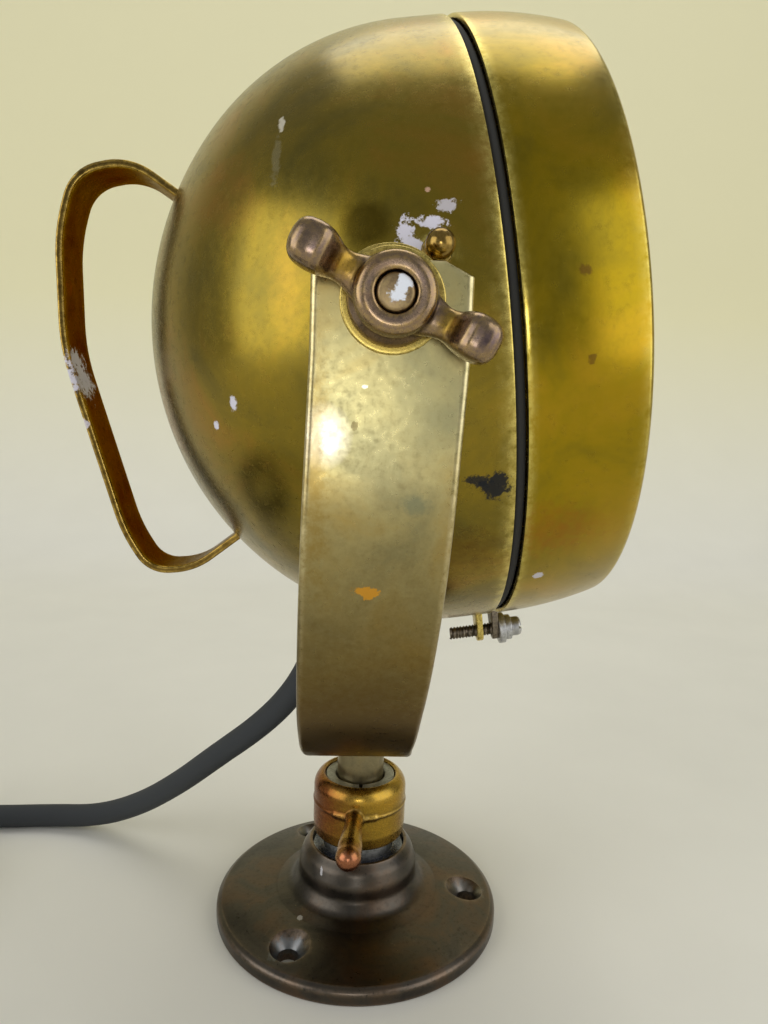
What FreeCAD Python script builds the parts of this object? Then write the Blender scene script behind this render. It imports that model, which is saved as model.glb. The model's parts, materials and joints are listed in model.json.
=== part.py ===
import FreeCAD, Part
import math
import os
import Sketcher

# Signal lamp on a yoke and a round foot, in millimetres.
# Origin: centre of the foot's underside. +Z is up, +X is the way the lamp shines,
# and the yoke's two pivots lie along Y. The lamp's head has a frame of its own: its
# x runs along the lamp's axis from the pivots' line, and it is tipped up by rest_tilt.

SIZES = {
    # foot
    "base_radius": 45.0,
    "base_edge_height": 3.0,
    "base_crown_radius": 150.0,
    "base_flare_radius": 8.0,
    "hub_shoulder_radius": 9.0,
    "base_shoulder_height": 5.0,
    "base_dome_radius": 26.0,
    "base_dome_height": 7.6,
    "hub_waist_radius": 18.8,
    "hub_waist_height": 12.4,
    "hub_bulge_radius": 19.0,
    "hub_bulge_height": 16.2,
    "hub_rim_radius": 15.6,
    "hub_height": 22.9,
    "hub_cup_radius": 14.7,
    "hub_cup_depth": 3.4,
    "base_cavity_radius": 30.0,
    "base_cavity_depth": 3.0,
    "fixing_circle_radius": 36.0,
    "fixing_hole_radius": 3.0,
    "fixing_sink_level": 3.4,
    "fixing_sink_depth": 6.0,
    "fixing_turn": -4.0,
    # clamping neck, nut and lever
    "neck_radius": 10.9,
    "neck_foot_radius": 13.2,
    "neck_foot_height": 3.0,
    "neck_foot_level": 5.6,
    "neck_top": 44.9,
    "neck_mouth": 0.7,
    "neck_slit_width": 1.2,
    "neck_slit_bottom": 27.0,
    "thrust_washer_height": 1.8,
    "nut_bottom": 26.2,
    "nut_top": 45.6,
    "nut_radius": 14.7,
    "nut_foot_radius": 14.2,
    "nut_crown_radius": 12.1,
    "nut_shoulder": 4.6,
    "nut_shoulder_radius": 4.9,
    "nut_foot_chamfer": 0.8,
    "lever_angle": -97.0,
    "lever_level": 37.4,
    "lever_drop": 4.0,
    "lever_reach": 29.0,
    "lever_root_radius": 2.4,
    "lever_tip_radius": 3.4,
    # post and yoke
    "post_radius": 7.4,
    "post_bottom": 2.6,
    "post_tenon_radius": 5.0,
    "circlip_height": 1.0,
    "circlip_groove_radius": 6.2,
    "circlip_radius": 9.4,
    "yoke_width": 29.0,
    "yoke_thickness": 4.0,
    "yoke_reach": 94.0,
    "yoke_flat": 10.0,
    "yoke_bottom": 64.0,
    "yoke_top_over_pivot": 7.2,
    "yoke_corner_width": 5.0,
    "yoke_corner_height": 2.4,
    "post_washer_radius": 10.0,
    "post_washer_height": 1.2,
    "post_nut_flats": 17.0,
    "post_nut_height": 6.0,
    # pivots
    "pivot_height": 179.0,
    "rest_tilt": 8.3,
    "stud_radius": 3.3,
    "stud_end": 104.4,
    "stud_head_flats": 11.0,
    "stud_head_height": 4.0,
    "stud_head_level": 71.4,
    "boss_radius": 11.0,
    "friction_washer_height": 1.2,
    "friction_washer_radius": 10.9,
    "doubler_radius": 17.5,
    "doubler_wall": 1.6,
    "wing_washer_radius": 9.35,
    "wing_washer_height": 1.2,
    "wing_hub_foot_radius": 8.3,
    "wing_hub_radius": 6.7,
    "wing_hub_height": 9.6,
    "wing_angle": 26.5,
    "wing_angle_far": 48.0,
    "wing_tab_centre": 15.5,
    "wing_tab_length": 7.2,
    "wing_tab_width": 7.2,
    "wing_tab_height": 8.6,
    "wing_tab_lift": 3.4,
    "wing_arm_width": 4.6,
    "wing_arm_height": 4.4,
    # lamp head shells
    "shell_radius": 82.0,
    "shell_wall": 1.1,
    "shell_widest": 13.7,
    "shell_depth": 76.6,
    "shell_cap_radius": 85.5,
    "shell_front": 23.5,
    "seam_gap": 2.4,
    "spigot_wall": 0.9,
    "spigot_back": 18.2,
    "spigot_front": 30.0,
    "spigot_flange_radius": 74.6,
    "spigot_step": 1.3,
    "seam_seal_sink": 1.2,
    "rim_front": 53.4,
    "rim_wall": 1.2,
    "rim_crown_radius": 102.5,
    "rim_corner_radius": 4.4,
    "rim_opening_radius": 70.0,
    "rim_lip": 2.6,
    # glass, reflector and bulb
    "glass_radius": 74.0,
    "glass_thickness": 3.2,
    "glass_bulge": 2.6,
    "glass_seal_wall": 1.4,
    "glass_seal_depth": 4.0,
    "glass_clip_width": 9.0,
    "glass_clip_thickness": 0.8,
    "glass_clip_length": 9.0,
    "reflector_wall": 0.8,
    "reflector_radius": 74.0,
    "reflector_focus": 31.0,
    "reflector_neck_radius": 17.0,
    "reflector_neck_length": 8.0,
    "reflector_flange_radius": 78.4,
    "reflector_screw_circle": 76.4,
    "reflector_screw_radius": 1.1,
    "holder_length": 30.0,
    "bulb_cap_radius": 13.2,
    "bulb_cap_length": 22.0,
    "bulb_radius": 22.0,
    "bulb_centre": 17.0,
    "bulb_neck_radius": 11.0,
    "bulb_wall": 0.8,
    # clamp screw below the seam
    "clamp_angle": -4.3,
    "clamp_drop": 88.6,
    "clamp_screw_radius": 1.9,
    "clamp_screw_length": 18.6,
    "clamp_head_radius": 2.9,
    "clamp_head_height": 3.1,
    "clamp_washer_radius": 4.7,
    "clamp_washer_height": 2.0,
    "clamp_spring_washer_radius": 3.8,
    "clamp_spring_washer_height": 2.0,
    "lug_width": 9.0,
    "lug_tip_radius": 3.2,
    "lug_thickness": 2.0,
    "shell_lug_back": 21.2,
    "rim_lug_back": 25.95,
    # handle
    "handle_width": 17.0,
    "handle_thickness": 2.0,
    "handle_tenon_radius": 2.6,
    "handle_tenon_length": 7.0,
    "handle_nut_flats": 9.0,
    "handle_nut_height": 3.0,
    # signal key
    "key_x": 10.4,
    "key_z": 10.3,
    "key_ball_radius": 2.85,
    "key_ball_reach": 86.8,
    "key_stem_radius": 1.5,
    "key_stem_end": 67.6,
    "key_collar_radius": 2.5,
    "key_collar_height": 1.0,
    "key_bush_radius": 2.9,
    "key_bush_flange_radius": 4.2,
    "key_bush_flange_height": 1.0,
    "key_bush_flange_level": 76.8,
    "key_bush_reach": 81.8,
    "key_travel": 2.0,
    "key_leaf_width": 6.0,
    "key_leaf_thickness": 0.5,
    "key_leaf_top": 30.0,
    "key_block_width": 12.0,
    "key_block_depth": 18.0,
    "key_contact_face": 62.0,
    "key_block_height": 12.0,
    "key_block_low": 21.0,
    "key_contact_radius": 2.2,
    # cable gland and mains cord
    "gland_x": -20.0,
    "gland_length": 10.0,
    "gland_flange_radius": 8.6,
    "gland_flange_height": 3.0,
    "gland_tip_radius": 6.0,
    "gland_thread_radius": 6.0,
    "gland_thread_length": 6.4,
    "gland_nut_radius": 8.6,
    "gland_nut_height": 2.6,
    "cord_radius": 4.0,
    "coil_radius": 44.0,
    "coil_pitch": 8.6,
    "coil_turns_per_layer": 2.625,
    "lead_radius": 1.4,
    # plug
    "plug_radius": 12.5,
    "plug_length": 26.0,
    "plug_waist_radius": 8.5,
    "plug_relief_length": 22.0,
    "plug_relief_radius": 6.2,
    "plug_pin_radius": 2.4,
    "plug_pin_length": 19.0,
    "plug_pin_spacing": 17.0,
    # clearances and seats
    "running_clearance": 0.05,
    "seat_gap": 0.15,
}

# Handle's outer line, from its upper foot round to its lower one, in the head's x and z
HANDLE_LINE = [
    (-47.3, 45.9), (-61.7, 58.5), (-78.4, 56.8), (-85.5, 40.7), (-89.2, 8.8),
    (-86.2, -9.8), (-80.3, -45.9), (-74.3, -58.8), (-60.6, -59.7), (-43.9, -50.2),
]
HANDLE_ARC_SHARE = 0.45

# Mains cord: from the gland down through the yoke, then to the floor and its coil
CORD_KNEE = [(-16.6, 0.0, 82.4), (-23.1, 0.4, 72.0), (-33.2, 4.4, 60.0)]
CORD_JOIN = (-47.2, 13.0, 44.4)
CORD_FALL = [
    (-62.8, 23.8, 28.4), (-79.4, 34.4, 14.4), (-97.0, 41.6, 5.6), (-116.0, 44.6, 4.0),
    (-136.0, 43.2, 4.0), (-157.0, 44.0, 4.0),
]
COIL_START = (-180.0, 44.0, 4.0)
CORD_TAIL = [
    (-2.4, -32.0, 10.0), (1.4, -58.0, 5.2), (18.4, -78.0, 4.6), (43.3, -88.0, 8.6),
    (69.0, -90.6, 12.5), (92.0, -91.4, 12.5),
]
ARC_SHARE = 0.45
STRAIGHT_END = 8.0

# Leads inside the head, in the head's frame
LEAD_TO_HOLDER = [
    (-29.0, 10.0, -52.0), (-39.0, 13.0, -41.0), (-47.0, 9.0, -26.0), (-51.0, 1.0, -12.0),
    (-48.6, 0.0, -6.0), (-41.9, 0.0, -6.0),
]
LEAD_TO_KEY = [
    (-21.0, -12.0, -56.0), (-24.0, -33.0, -46.0), (-23.0, -51.0, -25.0),
    (-19.0, -62.0, 1.0), (-13.0, -68.0, 20.0), (-4.0, -70.0, 27.0), (4.25, -70.0, 27.0),
]


class Size:
    """A length or angle that carries both its value and its formula on the sheet."""

    def __init__(self, value, formula):
        self.value = float(value)
        self.formula = formula

    @staticmethod
    def of(thing):
        """A Size for a plain number, or the Size itself."""
        return thing if isinstance(thing, Size) else Size(thing, repr(float(thing)))

    def __add__(self, other):
        other = Size.of(other)
        return Size(self.value + other.value, f"({self.formula} + {other.formula})")

    def __radd__(self, other):
        return Size.of(other) + self

    def __sub__(self, other):
        other = Size.of(other)
        return Size(self.value - other.value, f"({self.formula} - {other.formula})")

    def __rsub__(self, other):
        return Size.of(other) - self

    def __mul__(self, other):
        other = Size.of(other)
        return Size(self.value * other.value, f"({self.formula} * {other.formula})")

    def __rmul__(self, other):
        return Size.of(other) * self

    def __truediv__(self, other):
        other = Size.of(other)
        return Size(self.value / other.value, f"({self.formula} / {other.formula})")

    def __neg__(self):
        return Size(-self.value, f"(0 - {self.formula})")

    def __float__(self):
        return self.value


def root(size):
    """Square root of a Size."""
    return Size(math.sqrt(size.value), f"sqrt({size.formula})")


def make_sheet(document):
    """Spreadsheet with one aliased plain number for each driving size."""
    table = document.addObject("Spreadsheet::Sheet", "Sizes")
    for row, (name, number) in enumerate(SIZES.items(), start=1):
        table.set(f"A{row}", name.replace("_", " "))
        table.set(f"B{row}", str(number))
        table.setAlias(f"B{row}", name)
    document.recompute()
    return table


class Sizes:
    """Every driving size by its name."""

    def __init__(self, table):
        for name in SIZES:
            setattr(self, name, Size(getattr(table, name), f"Sizes.{name}"))


doc = FreeCAD.newDocument("signal_lamp")
sheet = make_sheet(doc)
s = Sizes(sheet)
parts = []


# Building helpers

def point(x, y, z):
    """Vector from numbers or Sizes."""
    return FreeCAD.Vector(float(x), float(y), float(z))


def origin_plane(body, role):
    """One of a body's own origin planes."""
    for feature in body.Origin.OriginFeatures:
        if feature.Role == role:
            return feature
    raise ValueError(role)


def bind(thing, name, size):
    """Set a property from a Size and bind it to the sheet."""
    size = Size.of(size)
    if "Sizes." in size.formula:
        thing.setExpression(name, size.formula)


def arc_between(start, end, radius, side):
    """Sketch arc from start to end; its centre lies left (+1) or right (-1) of the way."""
    chord = end - start
    half = chord.Length / 2
    height = math.sqrt(max(radius * radius - half * half, 0.0))
    left = FreeCAD.Vector(-chord.y, chord.x, 0).normalize()
    centre = (start + end) / 2 + left * height * side
    first, last = (start, end) if side > 0 else (end, start)
    begin = math.atan2(first.y - centre.y, first.x - centre.x)
    finish = math.atan2(last.y - centre.y, last.x - centre.x)
    circle = Part.Circle(centre, FreeCAD.Vector(0, 0, 1), radius)
    return Part.ArcOfCircle(circle, begin, finish)


def outline(body, name, role, corners, arcs=None):
    """Closed sketch through corners, each one placed from the sheet.

    arcs maps the number of a side to (radius, side of its centre).
    """
    arcs = arcs or {}
    sketch = body.newObject("Sketcher::SketchObject", name)
    sketch.AttachmentSupport = (origin_plane(body, role), [""])
    sketch.MapMode = "FlatFace"
    places = [(Size.of(x), Size.of(y)) for x, y in corners]
    spots = [FreeCAD.Vector(x.value, y.value, 0) for x, y in places]
    ends = []
    for side, start in enumerate(spots):
        end = spots[(side + 1) % len(spots)]
        if side in arcs:
            radius, hand = arcs[side]
            sketch.addGeometry(arc_between(start, end, float(radius), hand), False)
            ends.append((1, 2) if hand > 0 else (2, 1))
        else:
            sketch.addGeometry(Part.LineSegment(start, end), False)
            ends.append((1, 2))
    for side in range(len(spots)):
        following = (side + 1) % len(spots)
        sketch.addConstraint(
            Sketcher.Constraint("Coincident", side, ends[side][1], following, ends[following][0])
        )
    for side, (x, y) in enumerate(places):
        for kind, size in (("DistanceX", x), ("DistanceY", y)):
            number = sketch.addConstraint(
                Sketcher.Constraint(kind, -1, 1, side, ends[side][0], size.value)
            )
            bind(sketch, f"Constraints[{number}]", size)
    for side, (radius, hand) in arcs.items():
        number = sketch.addConstraint(Sketcher.Constraint("Radius", side, float(radius)))
        bind(sketch, f"Constraints[{number}]", Size.of(radius))
    return sketch


def circle_sketch(body, name, role, circles):
    """Sketch of circles, each given as (x, y, radius)."""
    sketch = body.newObject("Sketcher::SketchObject", name)
    sketch.AttachmentSupport = (origin_plane(body, role), [""])
    sketch.MapMode = "FlatFace"
    for number, (x, y, radius) in enumerate(circles):
        centre = point(x, y, 0)
        circle = Part.Circle(centre, FreeCAD.Vector(0, 0, 1), float(radius))
        sketch.addGeometry(circle, False)
        for kind, size in (("DistanceX", x), ("DistanceY", y)):
            index = sketch.addConstraint(Sketcher.Constraint(kind, -1, 1, number, 3, float(size)))
            bind(sketch, f"Constraints[{index}]", size)
        index = sketch.addConstraint(Sketcher.Constraint("Radius", number, float(radius)))
        bind(sketch, f"Constraints[{index}]", radius)
    return sketch


def new_body(label):
    """Empty body of one sub-part."""
    body = doc.addObject("PartDesign::Body", label)
    body.Label = label
    return body


def keep(thing, label, placement=None):
    """List a finished object as the sub-part called label."""
    thing.Label = label
    if placement is not None:
        thing.Placement = placement
    parts.append(thing)
    return thing


def revolve(body, name, axis, corners, arcs=None, cut=False):
    """Turn an outline in the XZ plane about X or Z; its corners are (x, z)."""
    sketch = outline(body, name + "_outline", "XZ_Plane", corners, arcs)
    kind = "PartDesign::Groove" if cut else "PartDesign::Revolution"
    feature = body.newObject(kind, name)
    feature.Profile = sketch
    feature.ReferenceAxis = (sketch, ["H_Axis" if axis == "X" else "V_Axis"])
    feature.Angle = 360
    return feature


def turned(label, axis, corners, arcs=None, placement=None):
    """Sub-part turned about X or Z."""
    body = new_body(label)
    revolve(body, label + "_turning", axis, corners, arcs)
    return keep(body, label, placement)


def ring_corners(inner, outer, low, high):
    """Outline of a plain ring: radii along the first axis, heights along the second."""
    return [(inner, low), (outer, low), (outer, high), (inner, high)]


def tube_corners(low, high, inner, outer):
    """Outline of a plain ring about X: lengths along the first axis, radii second."""
    return [(low, inner), (high, inner), (high, outer), (low, outer)]


def pad(body, name, sketch, length, symmetric=False):
    """Pad a sketch by a length."""
    feature = body.newObject("PartDesign::Pad", name)
    feature.Profile = sketch
    feature.Length = float(length)
    bind(feature, "Length", length)
    if symmetric:
        feature.Midplane = True
    return feature


def pocket(body, name, sketch, length, symmetric=False, reverse=False):
    """Cut a sketch out of the body by a length."""
    feature = body.newObject("PartDesign::Pocket", name)
    feature.Profile = sketch
    feature.Length = float(length)
    bind(feature, "Length", length)
    feature.Midplane = symmetric
    feature.Reversed = reverse
    return feature


def hexagon(flats):
    """Corners of a hexagon, given the distance across its flats."""
    radius = flats / math.sqrt(3)
    corners = []
    for step in range(6):
        angle = math.radians(60 * step)
        corners.append((radius * math.cos(angle), radius * math.sin(angle)))
    return corners


def shaped(label, shape, placement=None):
    """Sub-part whose shape is computed."""
    feature = doc.addObject("Part::Feature", label)
    feature.Shape = shape
    return keep(feature, label, placement)


def polar_copies(shape, count, axis, first=0.0):
    """Compound of equal solids round an axis through the origin."""
    copies = []
    for number in range(count):
        copy = shape.copy()
        copy.rotate(FreeCAD.Vector(), axis, first + 360.0 * number / count)
        copies.append(copy)
    return Part.Compound(copies)


X = FreeCAD.Vector(1, 0, 0)
Y = FreeCAD.Vector(0, 1, 0)
Z = FreeCAD.Vector(0, 0, 1)
SHELL_START = 37.0
HEAD = FreeCAD.Placement(
    point(0, 0, s.pivot_height), FreeCAD.Rotation(Y, -float(s.rest_tilt))
)


def in_head(x=0.0, y=0.0, z=0.0, rotation=None):
    """Placement inside the tipped head."""
    local = FreeCAD.Placement(point(x, y, z), rotation or FreeCAD.Rotation())
    return HEAD.multiply(local)


def outward(side):
    """Rotation that turns +X to the outside of the near (-1) or far (+1) pivot."""
    return FreeCAD.Rotation(Z, 90 * side)


SIDES = {"near": -1, "far": 1}


# Foot, clamping neck and lock nut

def make_base():
    """Cast foot with a hub, a cup for the thrust washer and three countersunk holes."""
    body = new_body("base_flange")
    bore = s.neck_radius + s.running_clearance
    foot_bore = s.neck_foot_radius + s.running_clearance
    foot_top = s.neck_foot_level + s.neck_foot_height
    cup_floor = s.hub_height - s.hub_cup_depth
    edge_round = s.base_shoulder_height - s.base_edge_height
    corners = [
        (s.base_cavity_radius, 0),
        (s.base_radius, 0),
        (s.base_radius, s.base_edge_height),
        (s.base_radius - edge_round, s.base_shoulder_height),
        (s.base_dome_radius, s.base_dome_height),
        (s.hub_waist_radius, s.hub_waist_height),
        (s.hub_bulge_radius, s.hub_bulge_height),
        (s.hub_rim_radius, s.hub_height),
        (s.hub_cup_radius, s.hub_height),
        (s.hub_cup_radius, cup_floor),
        (bore, cup_floor),
        (bore, foot_top),
        (foot_bore, foot_top),
        (foot_bore, s.base_cavity_depth),
        (s.base_cavity_radius, s.base_cavity_depth),
    ]
    arcs = {
        2: (edge_round, 1), 3: (s.base_crown_radius, 1),
        4: (s.base_flare_radius, -1), 6: (s.hub_shoulder_radius, 1),
    }
    revolve(body, "base_casting", "Z", corners, arcs)
    circle = s.fixing_circle_radius
    sink_top = s.fixing_sink_level + s.fixing_sink_depth
    hole = outline(
        body, "fixing_hole_outline", "XZ_Plane",
        [
            (circle, -1),
            (circle + s.fixing_hole_radius, -1),
            (circle + s.fixing_hole_radius, s.fixing_sink_level),
            (circle + s.fixing_hole_radius + s.fixing_sink_depth, sink_top),
            (circle, sink_top),
        ],
    )
    groove = body.newObject("PartDesign::Groove", "fixing_hole")
    groove.Profile = hole
    groove.ReferenceAxis = (hole, ["Edge5"])
    groove.Angle = 360
    doc.recompute()
    pattern = body.newObject("PartDesign::PolarPattern", "fixing_holes")
    pattern.Originals = [groove]
    pattern.Axis = (origin_plane(body, "Z_Axis"), [""])
    pattern.Angle = 360
    pattern.Occurrences = 3
    body.Tip = pattern
    keep(body, "base_flange", FreeCAD.Placement(FreeCAD.Vector(), FreeCAD.Rotation(Z, float(s.fixing_turn))))


def make_neck():
    """Split threaded neck that grips the post, held in the foot by its own flange."""
    body = new_body("clamping_neck")
    bore = s.post_radius + s.running_clearance
    corners = [
        (bore, s.neck_foot_level),
        (s.neck_foot_radius, s.neck_foot_level),
        (s.neck_foot_radius, s.neck_foot_level + s.neck_foot_height),
        (s.neck_radius, s.neck_foot_level + s.neck_foot_height),
        (s.neck_radius, s.neck_top),
        (bore + s.neck_mouth, s.neck_top),
        (bore, s.neck_top - s.neck_mouth),
    ]
    revolve(body, "neck_turning", "Z", corners)
    doc.recompute()
    half = s.neck_slit_width / 2
    slit = outline(
        body, "neck_slit_outline", "XZ_Plane",
        [(-half, s.neck_slit_bottom), (half, s.neck_slit_bottom),
         (half, s.neck_top + 1), (-half, s.neck_top + 1)],
    )
    pocket(body, "neck_slit", slit, 2 * (s.neck_radius + 1), symmetric=True)
    keep(body, "clamping_neck")
    cup_floor = s.hub_height - s.hub_cup_depth
    turned(
        "thrust_washer", "Z",
        ring_corners(
            s.neck_radius + 2 * s.running_clearance, s.hub_cup_radius - s.seat_gap,
            cup_floor, cup_floor + s.thrust_washer_height,
        ),
    )


def make_lock_nut():
    """Barrel nut with a rounded shoulder and one cast lever."""
    bore = s.neck_radius + s.running_clearance
    middle = (s.nut_bottom + s.nut_top) / 2
    body = new_body("lock_nut_barrel")
    corners = [
        (bore, s.nut_bottom),
        (s.nut_foot_radius - s.nut_foot_chamfer, s.nut_bottom),
        (s.nut_foot_radius, s.nut_bottom + s.nut_foot_chamfer),
        (s.nut_radius, middle),
        (s.nut_radius, s.nut_top - s.nut_shoulder),
        (s.nut_crown_radius, s.nut_top),
        (bore + s.seat_gap, s.nut_top),
        (bore + s.seat_gap, s.neck_top - 0.4),
        (bore, s.neck_top - 0.4),
    ]
    revolve(body, "nut_turning", "Z", corners, {4: (s.nut_shoulder_radius, 1)})
    doc.recompute()
    start = point(float(s.nut_radius) - 2.2, 0, s.lever_level)
    end = point(s.lever_reach, 0, s.lever_level - s.lever_drop)
    way = (end - start)
    lever = Part.makeCone(
        float(s.lever_root_radius), float(s.lever_tip_radius), way.Length, start, way.normalize()
    )
    tip = Part.makeSphere(float(s.lever_tip_radius), end)
    arm = lever.fuse(tip)
    arm.rotate(FreeCAD.Vector(), Z, float(s.lever_angle))
    nut = body.Shape.fuse(arm).removeSplitter()
    doc.removeObject(body.Name)
    shaped("lock_nut", nut)


# Post and yoke

def make_post():
    """Post with a shouldered tenon on top and a circlip below the neck."""
    strap_top = s.yoke_bottom + s.yoke_thickness
    tenon_top = strap_top + s.post_washer_height + s.post_nut_height + 1.2
    groove_low = s.neck_foot_level - s.circlip_height - s.seat_gap
    groove_high = s.neck_foot_level - s.seat_gap + 0.1
    turned(
        "post", "Z",
        [
            (0, s.post_bottom),
            (s.post_radius - 0.6, s.post_bottom),
            (s.post_radius, s.post_bottom + 0.6),
            (s.post_radius, groove_low - 0.1),
            (s.circlip_groove_radius, groove_low - 0.1),
            (s.circlip_groove_radius, groove_high),
            (s.post_radius, groove_high),
            (s.post_radius, s.yoke_bottom),
            (s.post_tenon_radius, s.yoke_bottom),
            (s.post_tenon_radius, tenon_top - 0.6),
            (s.post_tenon_radius - 0.6, tenon_top),
            (0, tenon_top),
        ],
    )
    circlip = Part.makeCylinder(float(s.circlip_radius), float(s.circlip_height)).cut(
        Part.makeCylinder(float(s.circlip_groove_radius + s.running_clearance), float(s.circlip_height))
    )
    mouth = Part.makeBox(
        float(s.circlip_radius) + 1, 3.0, float(s.circlip_height), point(0, -1.5, 0)
    )
    shaped("post_circlip", circlip.cut(mouth), FreeCAD.Placement(point(0, 0, groove_low), FreeCAD.Rotation()))
    turned(
        "post_washer", "Z",
        ring_corners(
            s.post_tenon_radius + s.running_clearance, s.post_washer_radius,
            strap_top, strap_top + s.post_washer_height,
        ),
    )
    body = new_body("post_nut")
    pad(body, "post_nut_pad", outline(body, "post_nut_hexagon", "XY_Plane", hexagon(s.post_nut_flats)), s.post_nut_height)
    hole = circle_sketch(body, "post_nut_bore", "XY_Plane", [(0, 0, s.post_tenon_radius + s.running_clearance)])
    pocket(body, "post_nut_hole", hole, s.post_nut_height, reverse=True)
    keep(body, "post_nut")
    bind(body, "Placement.Base.z", strap_top + s.post_washer_height)


def make_yoke():
    """U-shaped flat bar with chamfered ends, bored for the post and the two studs."""
    body = new_body("yoke")
    outer = s.yoke_reach
    inner = s.yoke_reach - s.yoke_thickness
    bend = s.yoke_reach - s.yoke_flat
    bend_level = s.yoke_bottom + bend
    top = s.pivot_height + s.yoke_top_over_pivot
    inner_bend = bend - s.yoke_thickness
    floor = s.yoke_bottom + s.yoke_thickness
    corners = [
        (-s.yoke_flat, s.yoke_bottom),
        (s.yoke_flat, s.yoke_bottom),
        (outer, bend_level),
        (outer, top),
        (inner, top),
        (inner, bend_level),
        (s.yoke_flat, floor),
        (-s.yoke_flat, floor),
        (-inner, bend_level),
        (-inner, top),
        (-outer, top),
        (-outer, bend_level),
    ]
    arcs = {1: (bend, 1), 5: (inner_bend, -1), 7: (inner_bend, -1), 11: (bend, 1)}
    pad(body, "yoke_bar", outline(body, "yoke_outline", "YZ_Plane", corners, arcs), s.yoke_width, symmetric=True)
    doc.recompute()
    half = s.yoke_width / 2
    for hand in (-1, 1):
        edge = hand * half
        cut = outline(
            body, f"yoke_corner_{hand + 1}", "XZ_Plane",
            [
                (edge, top - s.yoke_corner_height),
                (edge, top + 1),
                (edge - hand * s.yoke_corner_width, top + 1),
                (edge - hand * s.yoke_corner_width, top),
            ],
        )
        pocket(body, f"yoke_corner_cut_{hand + 1}", cut, 2 * (outer + 1), symmetric=True)
    stud_hole = circle_sketch(body, "stud_hole_circle", "XZ_Plane", [(0, s.pivot_height, s.stud_radius + s.running_clearance)])
    pocket(body, "stud_holes", stud_hole, 2 * (outer + 1), symmetric=True)
    post_hole = circle_sketch(body, "post_hole_circle", "XY_Plane", [(0, 0, s.post_tenon_radius + s.running_clearance)])
    pocket(body, "post_hole", post_hole, 2 * (floor + 1), symmetric=True)
    keep(body, "yoke")


# Pivots: boss, doubler, stud, washers and wing nut on each side

def shell_arcs(growth):
    """Cap and side arcs of the back shell's line in the head's x and z, grown outwards."""
    widest = float(s.shell_widest)
    radius = float(s.shell_radius)
    cap = float(s.shell_cap_radius)
    pole = widest - float(s.shell_depth)
    run = widest - pole - cap
    side = (run * run + radius * radius - cap * cap) / (2 * (radius - cap))
    cap_centre = point(pole + cap, 0, 0)
    side_centre = point(widest, 0, radius - side)
    way = (side_centre - cap_centre).normalize()
    meet = side_centre + way * (side + growth)
    half_cap = (way + X * -1).normalize()
    half_side = (way + Z).normalize()
    return [
        Part.Arc(
            point(pole - growth, 0, 0), cap_centre + half_cap * (cap + growth), meet
        ).toShape(),
        Part.Arc(
            meet, side_centre + half_side * (side + growth), point(widest, 0, radius + growth)
        ).toShape(),
    ]


def shell_form(growth):
    """Solid of the back shell's outer form, grown by a small amount."""
    radius = float(s.shell_radius) + growth
    widest = float(s.shell_widest)
    end = widest + 60.0
    edges = shell_arcs(growth) + [
        Part.makeLine(point(widest, 0, radius), point(end, 0, radius)),
        Part.makeLine(point(end, 0, radius), point(end, 0, 0)),
        Part.makeLine(point(end, 0, 0), point(widest - float(s.shell_depth) - growth, 0, 0)),
    ]
    face = Part.Face(Part.Wire(Part.__sortEdges__(edges)))
    face.rotate(FreeCAD.Vector(), X, SHELL_START)
    return face.revolve(FreeCAD.Vector(), X, 360)


def make_pivots():
    """Both pivots, near and far alike."""
    form = shell_form(float(s.running_clearance))
    inside = shell_form(-float(s.shell_wall) - float(s.running_clearance))
    inside_deep = shell_form(-float(s.shell_wall) - float(s.doubler_wall))
    yoke_inner = s.yoke_reach - s.yoke_thickness
    boss_end = yoke_inner - s.friction_washer_height
    hole = float(s.stud_radius + s.running_clearance)
    for side_name, side in SIDES.items():
        way = Y * side
        boss = Part.makeCylinder(float(s.boss_radius), float(boss_end) - 60.0, way * 60.0, way)
        boss = boss.cut(form).cut(Part.makeCylinder(hole, 200.0, FreeCAD.Vector(), way))
        shaped(f"pivot_boss_{side_name}", boss, in_head())
        doubler = Part.makeCylinder(float(s.doubler_radius), 60.0, way * 40.0, way)
        doubler = doubler.common(inside).cut(inside_deep)
        doubler = doubler.cut(Part.makeCylinder(hole, 200.0, FreeCAD.Vector(), way))
        if side < 0:
            key_hole = Part.makeCylinder(
                float(s.key_bush_radius + s.seat_gap), 120.0, point(s.key_x, 0, s.key_z), way
            )
            doubler = doubler.cut(key_hole)
        shaped(f"pivot_doubler_{side_name}", doubler, in_head())
        turned(
            f"friction_washer_{side_name}", "X",
            tube_corners(boss_end, yoke_inner, s.stud_radius + s.running_clearance, s.friction_washer_radius),
            placement=in_head(rotation=outward(side)),
        )
        turned(
            f"wing_washer_{side_name}", "X",
            tube_corners(
                s.yoke_reach, s.yoke_reach + s.wing_washer_height,
                s.stud_radius + s.running_clearance, s.wing_washer_radius,
            ),
            placement=in_head(rotation=outward(side)),
        )
        make_stud(side_name, side)
        make_wing_nut(side_name, side)


def make_stud(side_name, side):
    """Pivot stud with a hexagon head inside the shell."""
    head = Part.Face(Part.makePolygon([point(0, y, z) for y, z in closed(hexagon(s.stud_head_flats))]))
    head = head.extrude(X * float(s.stud_head_height))
    head.translate(X * float(s.stud_head_level))
    shank = Part.makeCylinder(
        float(s.stud_radius), float(s.stud_end - s.stud_head_level) - 0.5, X * float(s.stud_head_level), X
    )
    tip_start = float(s.stud_end) - 0.5
    tip = Part.makeCone(float(s.stud_radius), float(s.stud_radius) - 0.5, 0.5, X * tip_start, X)
    shaped(
        f"pivot_stud_{side_name}", head.fuse(shank).fuse(tip).removeSplitter(),
        in_head(rotation=outward(side)),
    )


def closed(corners):
    """Corners with the first one repeated at the end."""
    return list(corners) + [corners[0]]


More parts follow.
